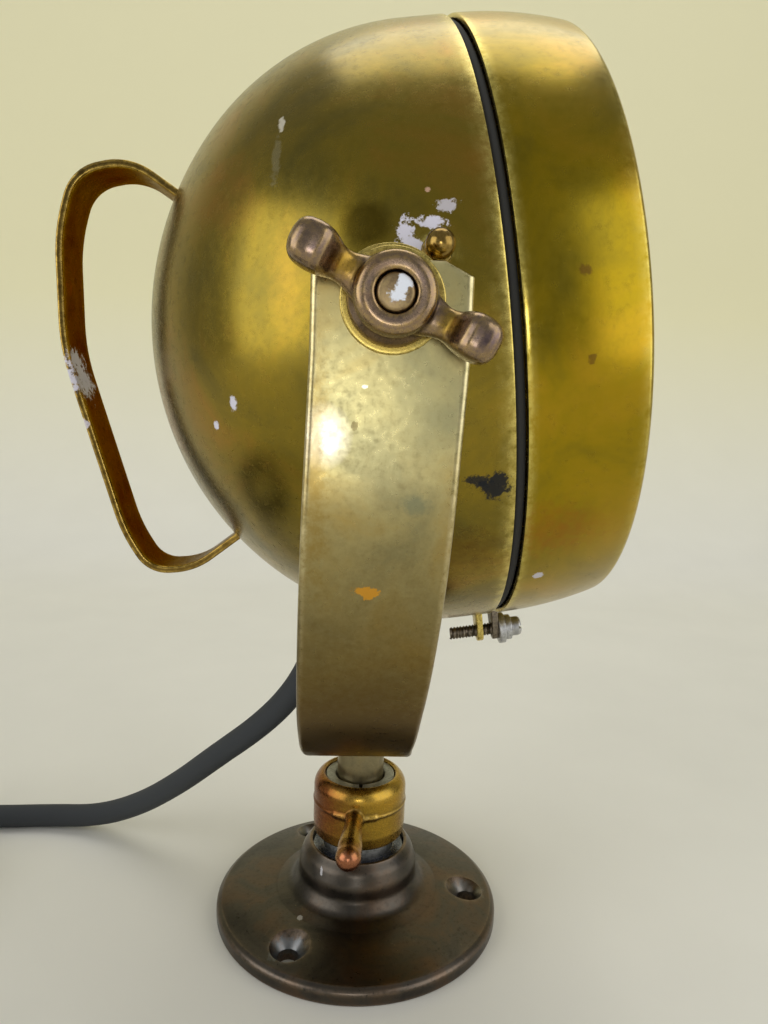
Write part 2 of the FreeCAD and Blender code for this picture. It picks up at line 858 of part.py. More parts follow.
def make_wing_nut(side_name, side):
    """Cast wing nut: a waisted hub and two arms that end in thick raised tabs."""
    foot = float(s.yoke_reach + s.wing_washer_height)
    top = foot + float(s.wing_hub_height)
    bore = float(s.stud_radius + s.running_clearance)
    rounding = 1.0
    hub = Part.makeCone(
        float(s.wing_hub_foot_radius), float(s.wing_hub_radius), float(s.wing_hub_height), X * foot, X
    )
    hub = hub.makeFillet(rounding, [edge for edge in hub.Edges if edge.BoundBox.XMin > top - 0.01])
    wings = []
    for hand in (-1, 1):
        arm = Part.makeBox(
            float(s.wing_arm_height), float(s.wing_tab_centre), float(s.wing_arm_width),
            point(foot + 1.6, 0, -float(s.wing_arm_width) / 2),
        )
        tab = Part.makeBox(
            float(s.wing_tab_height), float(s.wing_tab_length), float(s.wing_tab_width),
            point(
                foot + float(s.wing_tab_lift),
                float(s.wing_tab_centre) - float(s.wing_tab_length) / 2,
                -float(s.wing_tab_width) / 2,
            ),
        )
        tab = tab.makeFillet(1.9, tab.Edges)
        wing = arm.fuse(tab)
        wing.rotate(FreeCAD.Vector(), X, 90.0 - 90.0 * hand)
        wings.append(wing)
    nut = hub.fuse(wings[0]).fuse(wings[1])
    nut = nut.cut(Part.makeCylinder(bore, float(s.wing_hub_height), X * foot, X))
    mouth = Part.makeCone(bore, bore + 0.6, 0.6, X * (top - 0.6), X)
    nut = nut.cut(mouth)
    turn = -(s.wing_angle + s.rest_tilt) if side < 0 else s.wing_angle_far + s.rest_tilt
    nut.rotate(FreeCAD.Vector(), X, float(turn))
    shaped(f"wing_nut_{side_name}", nut.removeSplitter(), in_head(rotation=outward(side)))


# Head: back shell, spigot, seals and front rim

def make_rear_shell():
    """Spun back shell, bored for the pivots, the key, the handle and the cable gland."""
    wall = float(s.shell_wall)
    pole = float(s.shell_widest - s.shell_depth)
    radius = float(s.shell_radius)
    widest = float(s.shell_widest)
    front = float(s.shell_front)
    edges = shell_arcs(0.0) + shell_arcs(-wall) + [
        Part.makeLine(point(widest, 0, radius), point(front, 0, radius)),
        Part.makeLine(point(front, 0, radius), point(front, 0, radius - wall)),
        Part.makeLine(point(front, 0, radius - wall), point(widest, 0, radius - wall)),
        Part.makeLine(point(pole + wall, 0, 0), point(pole, 0, 0)),
    ]
    profile = Part.Face(Part.Wire(Part.__sortEdges__(edges)))
    profile.rotate(FreeCAD.Vector(), X, SHELL_START)
    shell = profile.revolve(FreeCAD.Vector(), X, 360)
    holes = []
    for side in SIDES.values():
        holes.append(Part.makeCylinder(float(s.stud_radius + s.running_clearance), 120.0, FreeCAD.Vector(), Y * side))
    holes.append(
        Part.makeCylinder(float(s.key_bush_radius + s.running_clearance), 120.0, point(s.key_x, 0, s.key_z), -Y)
    )
    foot, way = gland_seat()
    holes.append(Part.makeCylinder(float(s.gland_thread_radius + s.running_clearance), 30.0, foot - way * 15.0, way))
    for place, direction in handle_feet():
        holes.append(
            Part.makeCylinder(float(s.handle_tenon_radius + s.running_clearance), 20.0, place - direction * 10.0, direction)
        )
    for hole in holes:
        shell = shell.cut(hole)
    shaped("rear_shell", shell, in_head())


def make_seam():
    """Stepped spigot inside the seam and the black seal round it."""
    shell_inner = s.shell_radius - s.shell_wall
    step = s.shell_front - s.seat_gap
    rim_back = s.shell_front + s.seam_gap
    slim = rim_inner_radius(s.spigot_front) - s.spigot_step
    body = new_body("spigot_ring")
    revolve(
        body, "spigot_turning", "X",
        [
            (s.spigot_back, shell_inner - s.seat_gap - s.spigot_wall),
            (step - s.spigot_wall, shell_inner - s.seat_gap - s.spigot_wall),
            (step, slim - s.spigot_wall),
            (s.spigot_front - s.spigot_wall, slim - s.spigot_wall),
            (s.spigot_front - s.spigot_wall, s.spigot_flange_radius),
            (s.spigot_front, s.spigot_flange_radius),
            (s.spigot_front, slim),
            (step, slim),
            (step, shell_inner - s.seat_gap),
            (s.spigot_back, shell_inner - s.seat_gap),
        ],
    )
    doc.recompute()
    circle = s.reflector_screw_circle
    spots = [40.0, 160.0, 280.0]
    holes = circle_sketch(
        body, "spigot_screw_circles", "YZ_Plane",
        [
            (circle * -math.sin(math.radians(spot)), circle * math.cos(math.radians(spot)),
             s.reflector_screw_radius + s.running_clearance)
            for spot in spots
        ],
    )
    pocket(body, "spigot_screw_holes", holes, s.spigot_front + 1, reverse=True)
    keep(body, "spigot_ring", in_head())
    turned(
        "seam_seal", "X",
        tube_corners(
            s.shell_front + s.seat_gap, rim_back - s.seat_gap,
            slim + s.seat_gap, s.shell_radius - s.seam_seal_sink,
        ),
        placement=in_head(),
    )


def rim_outer_radius(x):
    """Outer radius of the crowned rim at a place along the lamp's axis."""
    run = x - (s.shell_front + s.seam_gap)
    return s.shell_radius - s.rim_crown_radius + root(s.rim_crown_radius * s.rim_crown_radius - run * run)


def rim_inner_radius(x):
    """Inner radius of the rim at a place along the lamp's axis."""
    run = x - (s.shell_front + s.seam_gap)
    inner = s.rim_crown_radius - s.rim_wall
    return s.shell_radius - s.rim_crown_radius + root(inner * inner - run * run)


def make_front_rim():
    """Spun rim: a gently crowned band that turns in over the edge of the glass."""
    body = new_body("front_rim")
    back = s.shell_front + s.seam_gap
    face = s.rim_front - s.rim_wall
    corners = [
        (back, s.shell_radius),
        (s.rim_front, rim_outer_radius(s.rim_front)),
        (s.rim_front, s.rim_opening_radius),
        (s.rim_front - s.rim_lip, s.rim_opening_radius),
        (s.rim_front - s.rim_lip, s.rim_opening_radius + s.rim_wall),
        (face, s.rim_opening_radius + s.rim_wall),
        (face, rim_inner_radius(face)),
        (back, s.shell_radius - s.rim_wall),
    ]
    arcs = {0: (s.rim_crown_radius, -1), 6: (s.rim_crown_radius - s.rim_wall, 1)}
    turning = revolve(body, "rim_spinning", "X", corners, arcs)
    doc.recompute()
    names = circle_edges_at(turning.Shape, float(s.rim_front), float(rim_outer_radius(s.rim_front)))
    corner = body.newObject("PartDesign::Fillet", "rim_corner")
    corner.Base = (turning, names)
    corner.Radius = float(s.rim_corner_radius)
    bind(corner, "Radius", s.rim_corner_radius)
    doc.recompute()
    names = circle_edges_at(corner.Shape, float(face), float(rim_inner_radius(face)))
    inner = body.newObject("PartDesign::Fillet", "rim_inner_corner")
    inner.Base = (corner, names)
    inner.Radius = float(s.rim_corner_radius - s.rim_wall)
    bind(inner, "Radius", s.rim_corner_radius - s.rim_wall)
    keep(body, "front_rim", in_head())


def circle_edges_at(shape, x, radius):
    """Names of the round edges at a place along x with a given radius."""
    names = []
    for number, edge in enumerate(shape.Edges, start=1):
        box = edge.BoundBox
        flat = abs(box.XMin - x) < 0.01 and abs(box.XMax - x) < 0.01
        if flat and abs(box.YLength / 2 - radius) < 0.05:
            names.append(f"Edge{number}")
    return names


# Glass, reflector and bulb

def make_glass():
    """Domed front glass, its rubber channel and the clips behind it."""
    seal_front = s.rim_front - s.rim_wall - s.seat_gap
    seal_back = seal_front - s.glass_seal_wall * 2 - s.glass_thickness
    glass_front = seal_front - s.glass_seal_wall
    glass_back = glass_front - s.glass_thickness
    edge = s.glass_radius
    bulge = s.glass_bulge
    seat = s.glass_radius - s.glass_seal_depth - 0.6
    front_radius = (seat * seat + bulge * bulge) / (2 * bulge)
    turned(
        "front_glass", "X",
        [
            (glass_back, seat),
            (glass_back, edge),
            (glass_front, edge),
            (glass_front, seat),
            (glass_front + bulge, 0),
            (glass_back + bulge, 0),
        ],
        {3: (front_radius, -1), 5: (front_radius, 1)},
        in_head(),
    )
    lip = s.glass_radius - s.glass_seal_depth
    front_lip = s.rim_opening_radius + s.rim_wall + s.seat_gap
    clearance = s.running_clearance
    turned(
        "glass_seal", "X",
        [
            (seal_back, lip),
            (glass_back - clearance, lip),
            (glass_back - clearance, edge + clearance),
            (glass_front + clearance, edge + clearance),
            (glass_front + clearance, front_lip),
            (seal_front, front_lip),
            (seal_front, edge),
            (seal_front - s.glass_seal_wall, edge + s.glass_seal_wall),
            (seal_back, edge + s.glass_seal_wall),
        ],
        placement=in_head(),
    )
    thickness = float(s.glass_clip_thickness)
    length = float(s.glass_clip_length)
    width = float(s.glass_clip_width)
    wall = float(rim_inner_radius(seal_back)) - float(s.seat_gap)
    back = float(seal_back) - float(s.seat_gap)
    foot = Part.makeBox(length, width, thickness, point(back - length, -width / 2, wall - thickness - 0.6))
    finger_reach = wall - float(lip) - 1.0
    finger = Part.makeBox(
        thickness, width, finger_reach, point(back - thickness, -width / 2, wall - 0.6 - finger_reach)
    )
    shaped("glass_clips", polar_copies(foot.fuse(finger).removeSplitter(), 6, X, 30.0), in_head())


def reflector_x(radius):
    """Place along the axis of the reflector's inner face at a radius."""
    vertex = s.bulb_centre - s.reflector_focus
    return vertex + radius * radius / (4 * s.reflector_focus)


def make_reflector():
    """Parabolic reflector with a neck for the holder and a flange on the spigot."""
    rim_x = float(reflector_x(s.reflector_radius))
    shift = float(s.spigot_front) - rim_x
    wall = float(s.reflector_wall)
    neck = float(s.reflector_neck_radius)
    steps = 7
    inner = []
    for step in range(steps + 1):
        radius = neck + (float(s.reflector_radius) - neck) * step / steps
        inner.append(point(float(reflector_x(Size.of(radius))) + shift, 0, radius))
    outer = [FreeCAD.Vector(place.x - wall, 0, place.z + wall * 0.35) for place in inner]
    front = Part.BSplineCurve()
    front.interpolate(inner)
    behind = Part.BSplineCurve()
    behind.interpolate(outer)
    back = inner[0].x - float(s.reflector_neck_length)
    flange = float(s.reflector_flange_radius)
    flange_front = inner[-1].x + wall
    outline_points = [
        outer[-1], point(inner[-1].x, 0, outer[-1].z + 0.2), point(inner[-1].x, 0, flange),
        point(flange_front, 0, flange), point(flange_front, 0, inner[-1].z), inner[-1],
    ]
    neck_points = [inner[0], point(back, 0, neck), point(back, 0, neck + wall), point(outer[0].x, 0, neck + wall), outer[0]]
    edges = [front.toShape(), behind.toShape()]
    for chain in (outline_points, neck_points):
        for start, end in zip(chain, chain[1:]):
            if (end - start).Length > 1e-6:
                edges.append(Part.makeLine(start, end))
    face = Part.Face(Part.Wire(Part.__sortEdges__(edges)))
    reflector = face.revolve(FreeCAD.Vector(), X, 360)
    screw_circle = float(s.reflector_screw_circle)
    hole = Part.makeCylinder(
        float(s.reflector_screw_radius + s.running_clearance), 6.0,
        point(inner[-1].x - 3.0, 0, screw_circle), X,
    )
    reflector = reflector.cut(polar_copies(hole, 3, X, 40.0))
    shaped("reflector", reflector, in_head())
    screw = Part.makeCylinder(
        float(s.reflector_screw_radius), 5.0, point(flange_front - 5.0, 0, screw_circle), X
    )
    head = Part.makeCylinder(2.0, 1.4, point(flange_front, 0, screw_circle), X)
    shaped("reflector_screws", polar_copies(screw.fuse(head).removeSplitter(), 3, X, 40.0), in_head())
    return back, shift


def make_lamp(neck_back, shift):
    """Bulb holder in the reflector's neck, with the bulb's cap and glass."""
    clearance = s.running_clearance
    outer = s.reflector_neck_radius - clearance
    inner = s.bulb_cap_radius + clearance
    back = neck_back - float(s.holder_length) + float(s.reflector_neck_length)
    flange_radius = s.reflector_neck_radius + 4
    turned(
        "lamp_holder", "X",
        [
            (back, 0),
            (back + 4.0, 0),
            (back + 4.0, inner),
            (neck_back + 6.0, inner),
            (neck_back + 6.0, outer),
            (neck_back - s.seat_gap, outer),
            (neck_back - s.seat_gap, flange_radius),
            (neck_back - s.seat_gap - 2.0, flange_radius),
            (neck_back - s.seat_gap - 2.0, outer),
            (back, outer),
        ],
        placement=in_head(),
    )
    cap_back = Size.of(back + 4.0) + s.seat_gap
    cap_front = cap_back + s.bulb_cap_length
    turned(
        "bulb_cap", "X",
        [
            (cap_back, 0),
            (cap_front, 0),
            (cap_front, s.bulb_cap_radius),
            (cap_back + 3.0, s.bulb_cap_radius),
            (cap_back, 5.0),
        ],
        placement=in_head(),
    )
    centre = s.bulb_centre + shift
    outer_neck = s.bulb_neck_radius
    inner_neck = s.bulb_neck_radius - s.bulb_wall
    inner_radius = s.bulb_radius - s.bulb_wall
    reach = root(s.bulb_radius * s.bulb_radius - outer_neck * outer_neck)
    inner_reach = root(inner_radius * inner_radius - inner_neck * inner_neck)
    turned(
        "bulb_glass", "X",
        [
            (cap_front, inner_neck),
            (centre - inner_reach, inner_neck),
            (centre, inner_radius),
            (centre + inner_radius, 0),
            (centre + s.bulb_radius, 0),
            (centre, s.bulb_radius),
            (centre - reach, outer_neck),
            (cap_front, outer_neck),
        ],
        {
            1: (inner_radius, -1), 2: (inner_radius, -1),
            4: (s.bulb_radius, 1), 5: (s.bulb_radius, 1),
        },
        in_head(),
    )


# Clamp screw at the bottom of the seam

def make_clamp():
    """Two lugs, one on each side of the seam, drawn together by a screw."""
    turn = FreeCAD.Rotation(X, float(s.clamp_angle))
    drop = float(s.clamp_drop)
    thickness = float(s.lug_thickness)
    tip = float(s.lug_tip_radius)
    half = float(s.lug_width) / 2
    hole = float(s.clamp_screw_radius + s.running_clearance)
    bottom = FreeCAD.Vector(0, 0, -drop)
    for name, back, radius in (
        ("shell_lug", float(s.shell_lug_back), float(s.shell_radius) + float(s.running_clearance)),
        ("rim_lug", float(s.rim_lug_back), float(s.shell_radius) + float(s.running_clearance)),
    ):
        low = -drop
        outline_wire = Part.Wire([
            Part.makeLine(point(back, -half, -radius + 1.2), point(back, half, -radius + 1.2)),
            Part.makeLine(point(back, half, -radius + 1.2), point(back, tip, low)),
            Part.Arc(point(back, tip, low), point(back, 0, low - tip), point(back, -tip, low)).toShape(),
            Part.makeLine(point(back, -tip, low), point(back, -half, -radius + 1.2)),
        ])
        lug = Part.Face(outline_wire).extrude(X * thickness)
        lug = lug.cut(Part.makeCylinder(radius, 60.0, FreeCAD.Vector(), X))
        lug = lug.cut(Part.makeCylinder(hole, 80.0, bottom, X))
        shaped(name, lug, in_head(rotation=turn))
    washer_back = s.rim_lug_back + s.lug_thickness
    spring_back = washer_back + s.clamp_washer_height
    head_back = spring_back + s.clamp_spring_washer_height
    bore = s.clamp_screw_radius + s.running_clearance
    seat = in_head(rotation=turn).multiply(FreeCAD.Placement(bottom, FreeCAD.Rotation()))
    turned("clamp_washer", "X", tube_corners(washer_back, spring_back, bore, s.clamp_washer_radius), placement=seat)
    turned(
        "clamp_spring_washer", "X",
        tube_corners(spring_back, head_back, bore, s.clamp_spring_washer_radius), placement=seat,
    )
    chamfer = 0.5
    turned(
        "clamp_screw", "X",
        [
            (head_back - s.clamp_screw_length, 0),
            (head_back + s.clamp_head_height, 0),
            (head_back + s.clamp_head_height, s.clamp_head_radius - chamfer),
            (head_back + s.clamp_head_height - chamfer, s.clamp_head_radius),
            (head_back, s.clamp_head_radius),
            (head_back, s.clamp_screw_radius),
            (head_back - s.clamp_screw_length + chamfer, s.clamp_screw_radius),
            (head_back - s.clamp_screw_length, s.clamp_screw_radius - chamfer),
        ],
        placement=seat,
    )


# Handle

def rounded_path(places, share):
    """Straight runs joined by tangent arcs; returns the edges and the arcs' radii."""
    edges = []
    radii = []
    at = places[0]
    for before, corner, after in zip(places, places[1:], places[2:]):
        back = before - corner
        ahead = after - corner
        reach = share * min(back.Length, ahead.Length)
        turn = math.pi - back.getAngle(ahead)
        radius = reach / math.tan(turn / 2)
        back = back.normalize()
        ahead = ahead.normalize()
        start = corner + back * reach
        end = corner + ahead * reach
        inward = (back + ahead).normalize()
        middle = corner + inward * (radius / math.cos(turn / 2) - radius)
        edges.append(Part.makeLine(at, start))
        edges.append(Part.Arc(start, middle, end).toShape())
        radii.append(radius)
        at = end
    edges.append(Part.makeLine(at, places[-1]))
    return edges, radii


def handle_places():
    """Points of the handle's outer line in the head's frame."""
    return [point(x, 0, z) for x, z in HANDLE_LINE]


def handle_feet():
    """Where each end of the handle meets the shell, and the way it points inwards."""
    places = handle_places()
    feet = []
    for end, before in ((places[0], places[1]), (places[-1], places[-2])):
        way = (end - before).normalize()
        feet.append((end + inner_side(end, way) * (float(s.handle_thickness) / 2), way))
    return feet


def inner_side(end, way):
    """Unit vector across the strap, from its outer line to its inner face."""
    across = FreeCAD.Vector(way.z, 0, -way.x)
    middle = FreeCAD.Vector(-60, 0, -5)
    return across if across.dot(middle - end) > 0 else -across


def make_handle():
    """Bent flat strap whose two ends pass through the shell and are nutted inside."""
    thickness = float(s.handle_thickness)
    width = float(s.handle_width)
    edges, radii = rounded_path(handle_places(), HANDLE_ARC_SHARE)
    outer = Part.Wire(edges)
    band = outer.makeOffset2D(-thickness, join=2, fill=True, openResult=True)
    inner_box = band.BoundBox
    if inner_box.XMin < outer.BoundBox.XMin - 0.1:
        band = outer.makeOffset2D(thickness, join=2, fill=True, openResult=True)
    strap = band.extrude(Y * width)
    strap.translate(-Y * (width / 2))
    strap = strap.cut(shell_form(float(s.running_clearance)))
    tenons = []
    nuts = []
    for place, way in handle_feet():
        tenon = Part.makeCylinder(float(s.handle_tenon_radius), float(s.handle_tenon_length) + 3.0, place - way * 3.0, way)
        tenons.append(tenon)
        nut = Part.Face(Part.makePolygon([point(0, y, z) for y, z in closed(hexagon(s.handle_nut_flats))]))
        nut = nut.extrude(X * float(s.handle_nut_height))
        nut = nut.cut(Part.makeCylinder(float(s.handle_tenon_radius + s.running_clearance), float(s.handle_nut_height), FreeCAD.Vector(), X))
        nut.Placement = FreeCAD.Placement(place + way * 3.6, FreeCAD.Rotation(X, way))
        nuts.append(nut)
    handle = strap.fuse(tenons[0]).fuse(tenons[1]).removeSplitter()
    solids = sorted(handle.Solids, key=lambda solid: solid.Volume)
    shaped("handle", solids[-1], in_head())
    shaped("handle_nuts", Part.Compound(nuts), in_head())


# Signal key

def make_key():
    """Ball-ended press key with its bush, leaf spring, insulating block and contact."""
    turn = outward(-1)
    ball_reach = s.key_ball_reach
    bush_out = s.key_bush_reach
    flange_in = s.key_bush_flange_level
    place = in_head(s.key_x, 0, s.key_z, turn)
    turned(
        "key_bush", "X",
        [
            (flange_in, s.key_stem_radius + s.running_clearance),
            (bush_out, s.key_stem_radius + s.running_clearance),
            (bush_out, s.key_bush_radius),
            (flange_in + s.key_bush_flange_height, s.key_bush_radius),
            (flange_in + s.key_bush_flange_height, s.key_bush_flange_radius),
            (flange_in, s.key_bush_flange_radius),
        ],
        placement=place,
    )
    ball = Part.makeSphere(float(s.key_ball_radius), X * float(ball_reach))
    stem = Part.makeCylinder(float(s.key_stem_radius), float(ball_reach - s.key_stem_end), X * float(s.key_stem_end), X)
    collar_low = float(flange_in - s.seat_gap - s.key_collar_height)
    collar = Part.makeCylinder(float(s.key_collar_radius), float(s.key_collar_height), X * collar_low, X)
    shaped("signal_key", ball.fuse(stem).fuse(collar).removeSplitter(), place)
    leaf_out = float(s.key_stem_end) - 0.1
    thickness = float(s.key_leaf_thickness)
    leaf = Part.makeBox(
        float(s.key_leaf_width), thickness, float(s.key_leaf_top) - 6.0,
        point(float(s.key_x) - float(s.key_leaf_width) / 2, -leaf_out, 6.0),
    )
    shaped("key_leaf", leaf, in_head())
    block_width = float(s.key_block_width)
    depth = float(s.key_block_depth)
    low = float(s.key_block_low)
    face = float(s.key_contact_face)
    block = Part.makeBox(
        block_width, depth, float(s.key_block_height),
        point(float(s.key_x) - block_width / 2, -face - depth, low),
    )
    block = block.common(shell_form(-float(s.shell_wall) - float(s.seat_gap)))
    slot = Part.makeBox(
        float(s.key_leaf_width) + 0.4, thickness + float(s.key_travel) + 0.5, 40.0,
        point(float(s.key_x) - float(s.key_leaf_width) / 2 - 0.2, -leaf_out - 0.2, low - 1.0),
    )
    shaped("key_block", block.cut(slot), in_head())
    strip = Part.makeBox(
        float(s.key_leaf_width), 1.0, low + 8.0 - 5.0,
        point(float(s.key_x) - float(s.key_leaf_width) / 2, -face, 5.0),
    )
    pressed = leaf_out - thickness - float(s.key_travel) - float(s.seat_gap)
    stud = Part.makeCylinder(
        float(s.key_contact_radius), pressed - face + 0.5, point(s.key_x, -face + 0.5, s.key_z), -Y
    )
    shaped("key_contact", strip.fuse(stud).removeSplitter(), in_head())


# Gland, cord, coil and plug

def gland_seat():
    """Where the gland sits on the shell and the way it points out, in the head's frame."""
    cap, side = shell_arcs(0.0)
    line = Part.makeLine(point(s.gland_x, 0, 0), point(s.gland_x, 0, 200.0))
    arc = side if side.distToShape(line)[0] < cap.distToShape(line)[0] else cap
    spot = arc.distToShape(line)[1][0][0]
    way = (spot - arc.Curve.Center).normalize()
    return FreeCAD.Vector(spot.x, 0, -spot.z), FreeCAD.Vector(way.x, 0, -way.z)


def make_gland():
    """Turned gland through the shell, with its nut inside."""
    foot, way = gland_seat()
    seat = HEAD.multiply(FreeCAD.Placement(foot, FreeCAD.Rotation(X, way)))
    bore = s.cord_radius + s.running_clearance
    flat = 0.6
    turned(
        "cable_gland", "X",
        [
            (-s.gland_thread_length, bore),
            (s.gland_length, bore),
            (s.gland_length, s.gland_tip_radius - 0.8),
            (s.gland_length - 0.8, s.gland_tip_radius),
            (flat + s.gland_flange_height, s.gland_flange_radius - 1.2),
            (flat + s.gland_flange_height - 1.2, s.gland_flange_radius),
            (flat, s.gland_flange_radius),
            (flat, s.gland_thread_radius),
            (-s.gland_thread_length, s.gland_thread_radius),
        ],
        placement=seat,
    )
    nut_out = -s.shell_wall - 0.8
    turned(
        "gland_nut", "X",
        tube_corners(nut_out - s.gland_nut_height, nut_out, s.gland_thread_radius + s.running_clearance, s.gland_nut_radius),
        placement=seat,
    )
    core_end = -s.gland_thread_length - 1.6
    turned("cord_end", "X", [(core_end, 0), (s.gland_length - 0.4, 0), (s.gland_length - 0.4, s.cord_radius), (core_end, s.cord_radius)], placement=seat)
    return seat


def tube_along(edges, radius):
    """Solid tube along edges, checked against its section times its length."""
    path = Part.Wire(edges)
    start = edges[0].valueAt(edges[0].FirstParameter)
    way = edges[0].tangentAt(edges[0].FirstParameter)
    ring = Part.Wire([Part.makeCircle(radius, start, way)])
    tube = path.makePipeShell([ring], True, False)
    expected = math.pi * radius ** 2 * path.Length
    print(f"tube {path.Length:.1f} mm, volume {tube.Volume / expected:.4f} of section x length")
    return tube


def make_cord(gland_place):
    """The cord's free stretches, from the gland to the coil."""
    radius = float(s.cord_radius)
    mouth = gland_place.multVec(point(s.gland_length, 0, 0))
    upper = [mouth] + [point(*place) for place in CORD_KNEE] + [point(*CORD_JOIN)]
    lower = [point(*CORD_JOIN)] + [point(*place) for place in CORD_FALL] + [point(*COIL_START)]
    join = tangent_join(upper, lower)
    for label, places in (("cord_upper", join[0]), ("cord_lower", join[1])):
        edges, radii = rounded_path(places, ARC_SHARE)
        print(label, "arc radii", [round(value, 1) for value in radii])
        shaped(label, tube_along(edges, radius))


def tangent_join(upper, lower):
    """Both stretches meet on a short straight piece through the joining point."""
    way = (lower[1] - upper[-2]).normalize()
    here = upper[-1]
    step = STRAIGHT_END
    upper = upper[:-1] + [here - way * step, here]
    lower = [here, here + way * step] + lower[1:]
    return upper, lower


def coil_place(turn):
    """Point of the coil's line after so many turns: in on the floor, out on top."""
    per_layer = float(s.coil_turns_per_layer)
    pitch = float(s.coil_pitch)
    outer = float(s.coil_radius) + pitch * per_layer / 2
    radius = outer - pitch * min(turn, 2 * per_layer - turn)
    angle = math.pi / 2 + 2 * math.pi * turn
    climb = min(max((turn - per_layer + 0.25) / 0.5, 0.0), 1.0)
    height = pitch * (1 - math.cos(math.pi * climb)) / 2
    centre = FreeCAD.Vector(COIL_START[0] - STRAIGHT_END, COIL_START[1] - outer, COIL_START[2])
    return centre + FreeCAD.Vector(radius * math.cos(angle), radius * math.sin(angle), height)


def biarc(start, start_way, end, end_way):
    """Two arcs from start to end that keep both directions."""
    chord = end - start
    both = start_way + end_way
    bend = 2 * (1 - start_way.dot(end_way))
    along = chord.dot(both)
    reach = (-along + math.sqrt(along * along + bend * chord.dot(chord))) / bend
    middle = (start + end + (start_way - end_way) * reach) / 2
    return [arc_from(start, start_way, middle), arc_from(end, -end_way, middle, True)]


def arc_from(start, way, end, backwards=False):
    """Arc that leaves start along way and ends at end."""
    chord = end - start
    angle = way.getAngle(chord)
    across = way - chord * (way.dot(chord) / chord.dot(chord))
    top = (start + end) / 2 + across.normalize() * (chord.Length / 2 * math.tan(angle / 2))
    if backwards:
        return Part.Arc(end, top, start).toShape()
    return Part.Arc(start, top, end).toShape()


def make_coil():
    """Coil in two layers, one unbroken tube on biarcs of a quarter turn."""
    total = 2 * float(s.coil_turns_per_layer)
    steps = int(round(total * 4))
    nudge = 1e-5
    places = []
    ways = []
    for step in range(steps + 1):
        turn = total * step / steps
        places.append(coil_place(turn))
        before = coil_place(max(turn - nudge, 0.0))
        after = coil_place(min(turn + nudge, total))
        ways.append((after - before).normalize())
    ways[0] = FreeCAD.Vector(-1, 0, 0)
    last = math.pi / 2 + 2 * math.pi * total
    ways[-1] = FreeCAD.Vector(-math.sin(last), math.cos(last), 0)
    edges = []
    for start, start_way, end, end_way in zip(places, ways, places[1:], ways[1:]):
        edges += biarc(start, start_way, end, end_way)
    lead_in = places[0] - ways[0] * STRAIGHT_END
    lead_out = places[-1] + ways[-1] * STRAIGHT_END
    edges = [Part.makeLine(lead_in, places[0])] + edges + [Part.makeLine(places[-1], lead_out)]
    shaped("cord_coil", tube_along(edges, float(s.cord_radius)))
    print(f"coil's least gap to itself {least_gap(edges):.2f} mm")
    return lead_out, ways[-1]


def least_gap(edges):
    """Least distance between the surfaces of turns that don't follow one another."""
    spots = []
    run = 0.0
    for edge in edges:
        count = max(int(edge.Length / 3.0), 1)
        for place in edge.discretize(count + 1)[:-1]:
            spots.append((run, place))
            run += edge.Length / count
    skip = 60.0
    gap = 1e9
    for number, (length, place) in enumerate(spots):
        for other_length, other in spots[number + 1:]:
            if other_length - length > skip:
                gap = min(gap, place.distanceToPoint(other))
    return gap - 2 * float(s.cord_radius)


def make_tail(start, way):
    """Cord from the coil's outer end to the plug."""
    shift = FreeCAD.Vector(start.x + 2.4, start.y + STRAIGHT_END, 0)
    places = [start] + [FreeCAD.Vector(x, y, z) + shift for x, y, z in CORD_TAIL]
    places[1].z = start.z
    edges, radii = rounded_path(places, ARC_SHARE)
    print("cord_tail arc radii", [round(value, 1) for value in radii])
    shaped("cord_tail", tube_along(edges, float(s.cord_radius)))
    end_way = (places[-1] - places[-2]).normalize()
    return places[-1], end_way


def make_plug(place, way):
    """Round rubber plug with a tapered relief and two pins."""
    seat = FreeCAD.Placement(place, FreeCAD.Rotation(X, way))
    relief = s.plug_relief_length
    end = relief + s.plug_length
    turned(
        "plug_relief", "X",
        [
            (0, 0),
            (relief, 0),
            (relief, s.plug_relief_radius),
            (0, s.cord_radius + 0.6),
        ],
        placement=seat,
    )
    turned(
        "plug_body", "X",
        [
            (relief, 0),
            (end, 0),
            (end, s.plug_radius - 0.8),
            (end - 0.8, s.plug_radius),
            (end - 9.0, s.plug_radius),
            (relief + 7.0, s.plug_waist_radius),
            (relief, s.plug_waist_radius - 1.0),
        ],
        placement=seat,
    )
    pins = []
    for hand in (-1, 1):
        base = point(end, hand * s.plug_pin_spacing / 2, 0)
        pin = Part.makeCylinder(float(s.plug_pin_radius), float(s.plug_pin_length), base, X)
        pins.append(pin.makeFillet(1.2, [edge for edge in pin.Edges if edge.BoundBox.XMin > base.x + 1]))
    shaped("plug_pins", Part.Compound(pins), seat)


def make_leads(gland_place):
    """Two inner leads, from the gland to the key block and to the bulb holder."""
    to_head = HEAD.inverse()
    depth = -s.gland_thread_length - 1.6
    inside = to_head.multVec(gland_place.multVec(point(depth, 0, 0)))
    further = to_head.multVec(gland_place.multVec(point(depth - 6.0, 0, 0)))
    radius = float(s.lead_radius)
    for label, offset, corners in (
        ("lead_to_holder", 2.0, LEAD_TO_HOLDER),
        ("lead_to_key", -2.0, LEAD_TO_KEY),
    ):
        aside = FreeCAD.Vector(0, offset, 0)
        places = [inside + aside, further + aside] + [point(*corner) for corner in corners]
        edges, radii = rounded_path(places, ARC_SHARE)
        shaped(label, tube_along(edges, radius), HEAD)


def check_parts():
    """Stop if any object or sub-part shape is not sound."""
    for thing in doc.Objects:
        if "Invalid" in thing.State or "Error" in thing.State:
            raise RuntimeError(f"{thing.Label} did not compute: {thing.State}")
    for thing in parts:
        if thing.Shape.isNull() or not thing.Shape.isValid() or thing.Shape.Volume <= 0:
            raise RuntimeError(f"{thing.Label} has no sound shape")


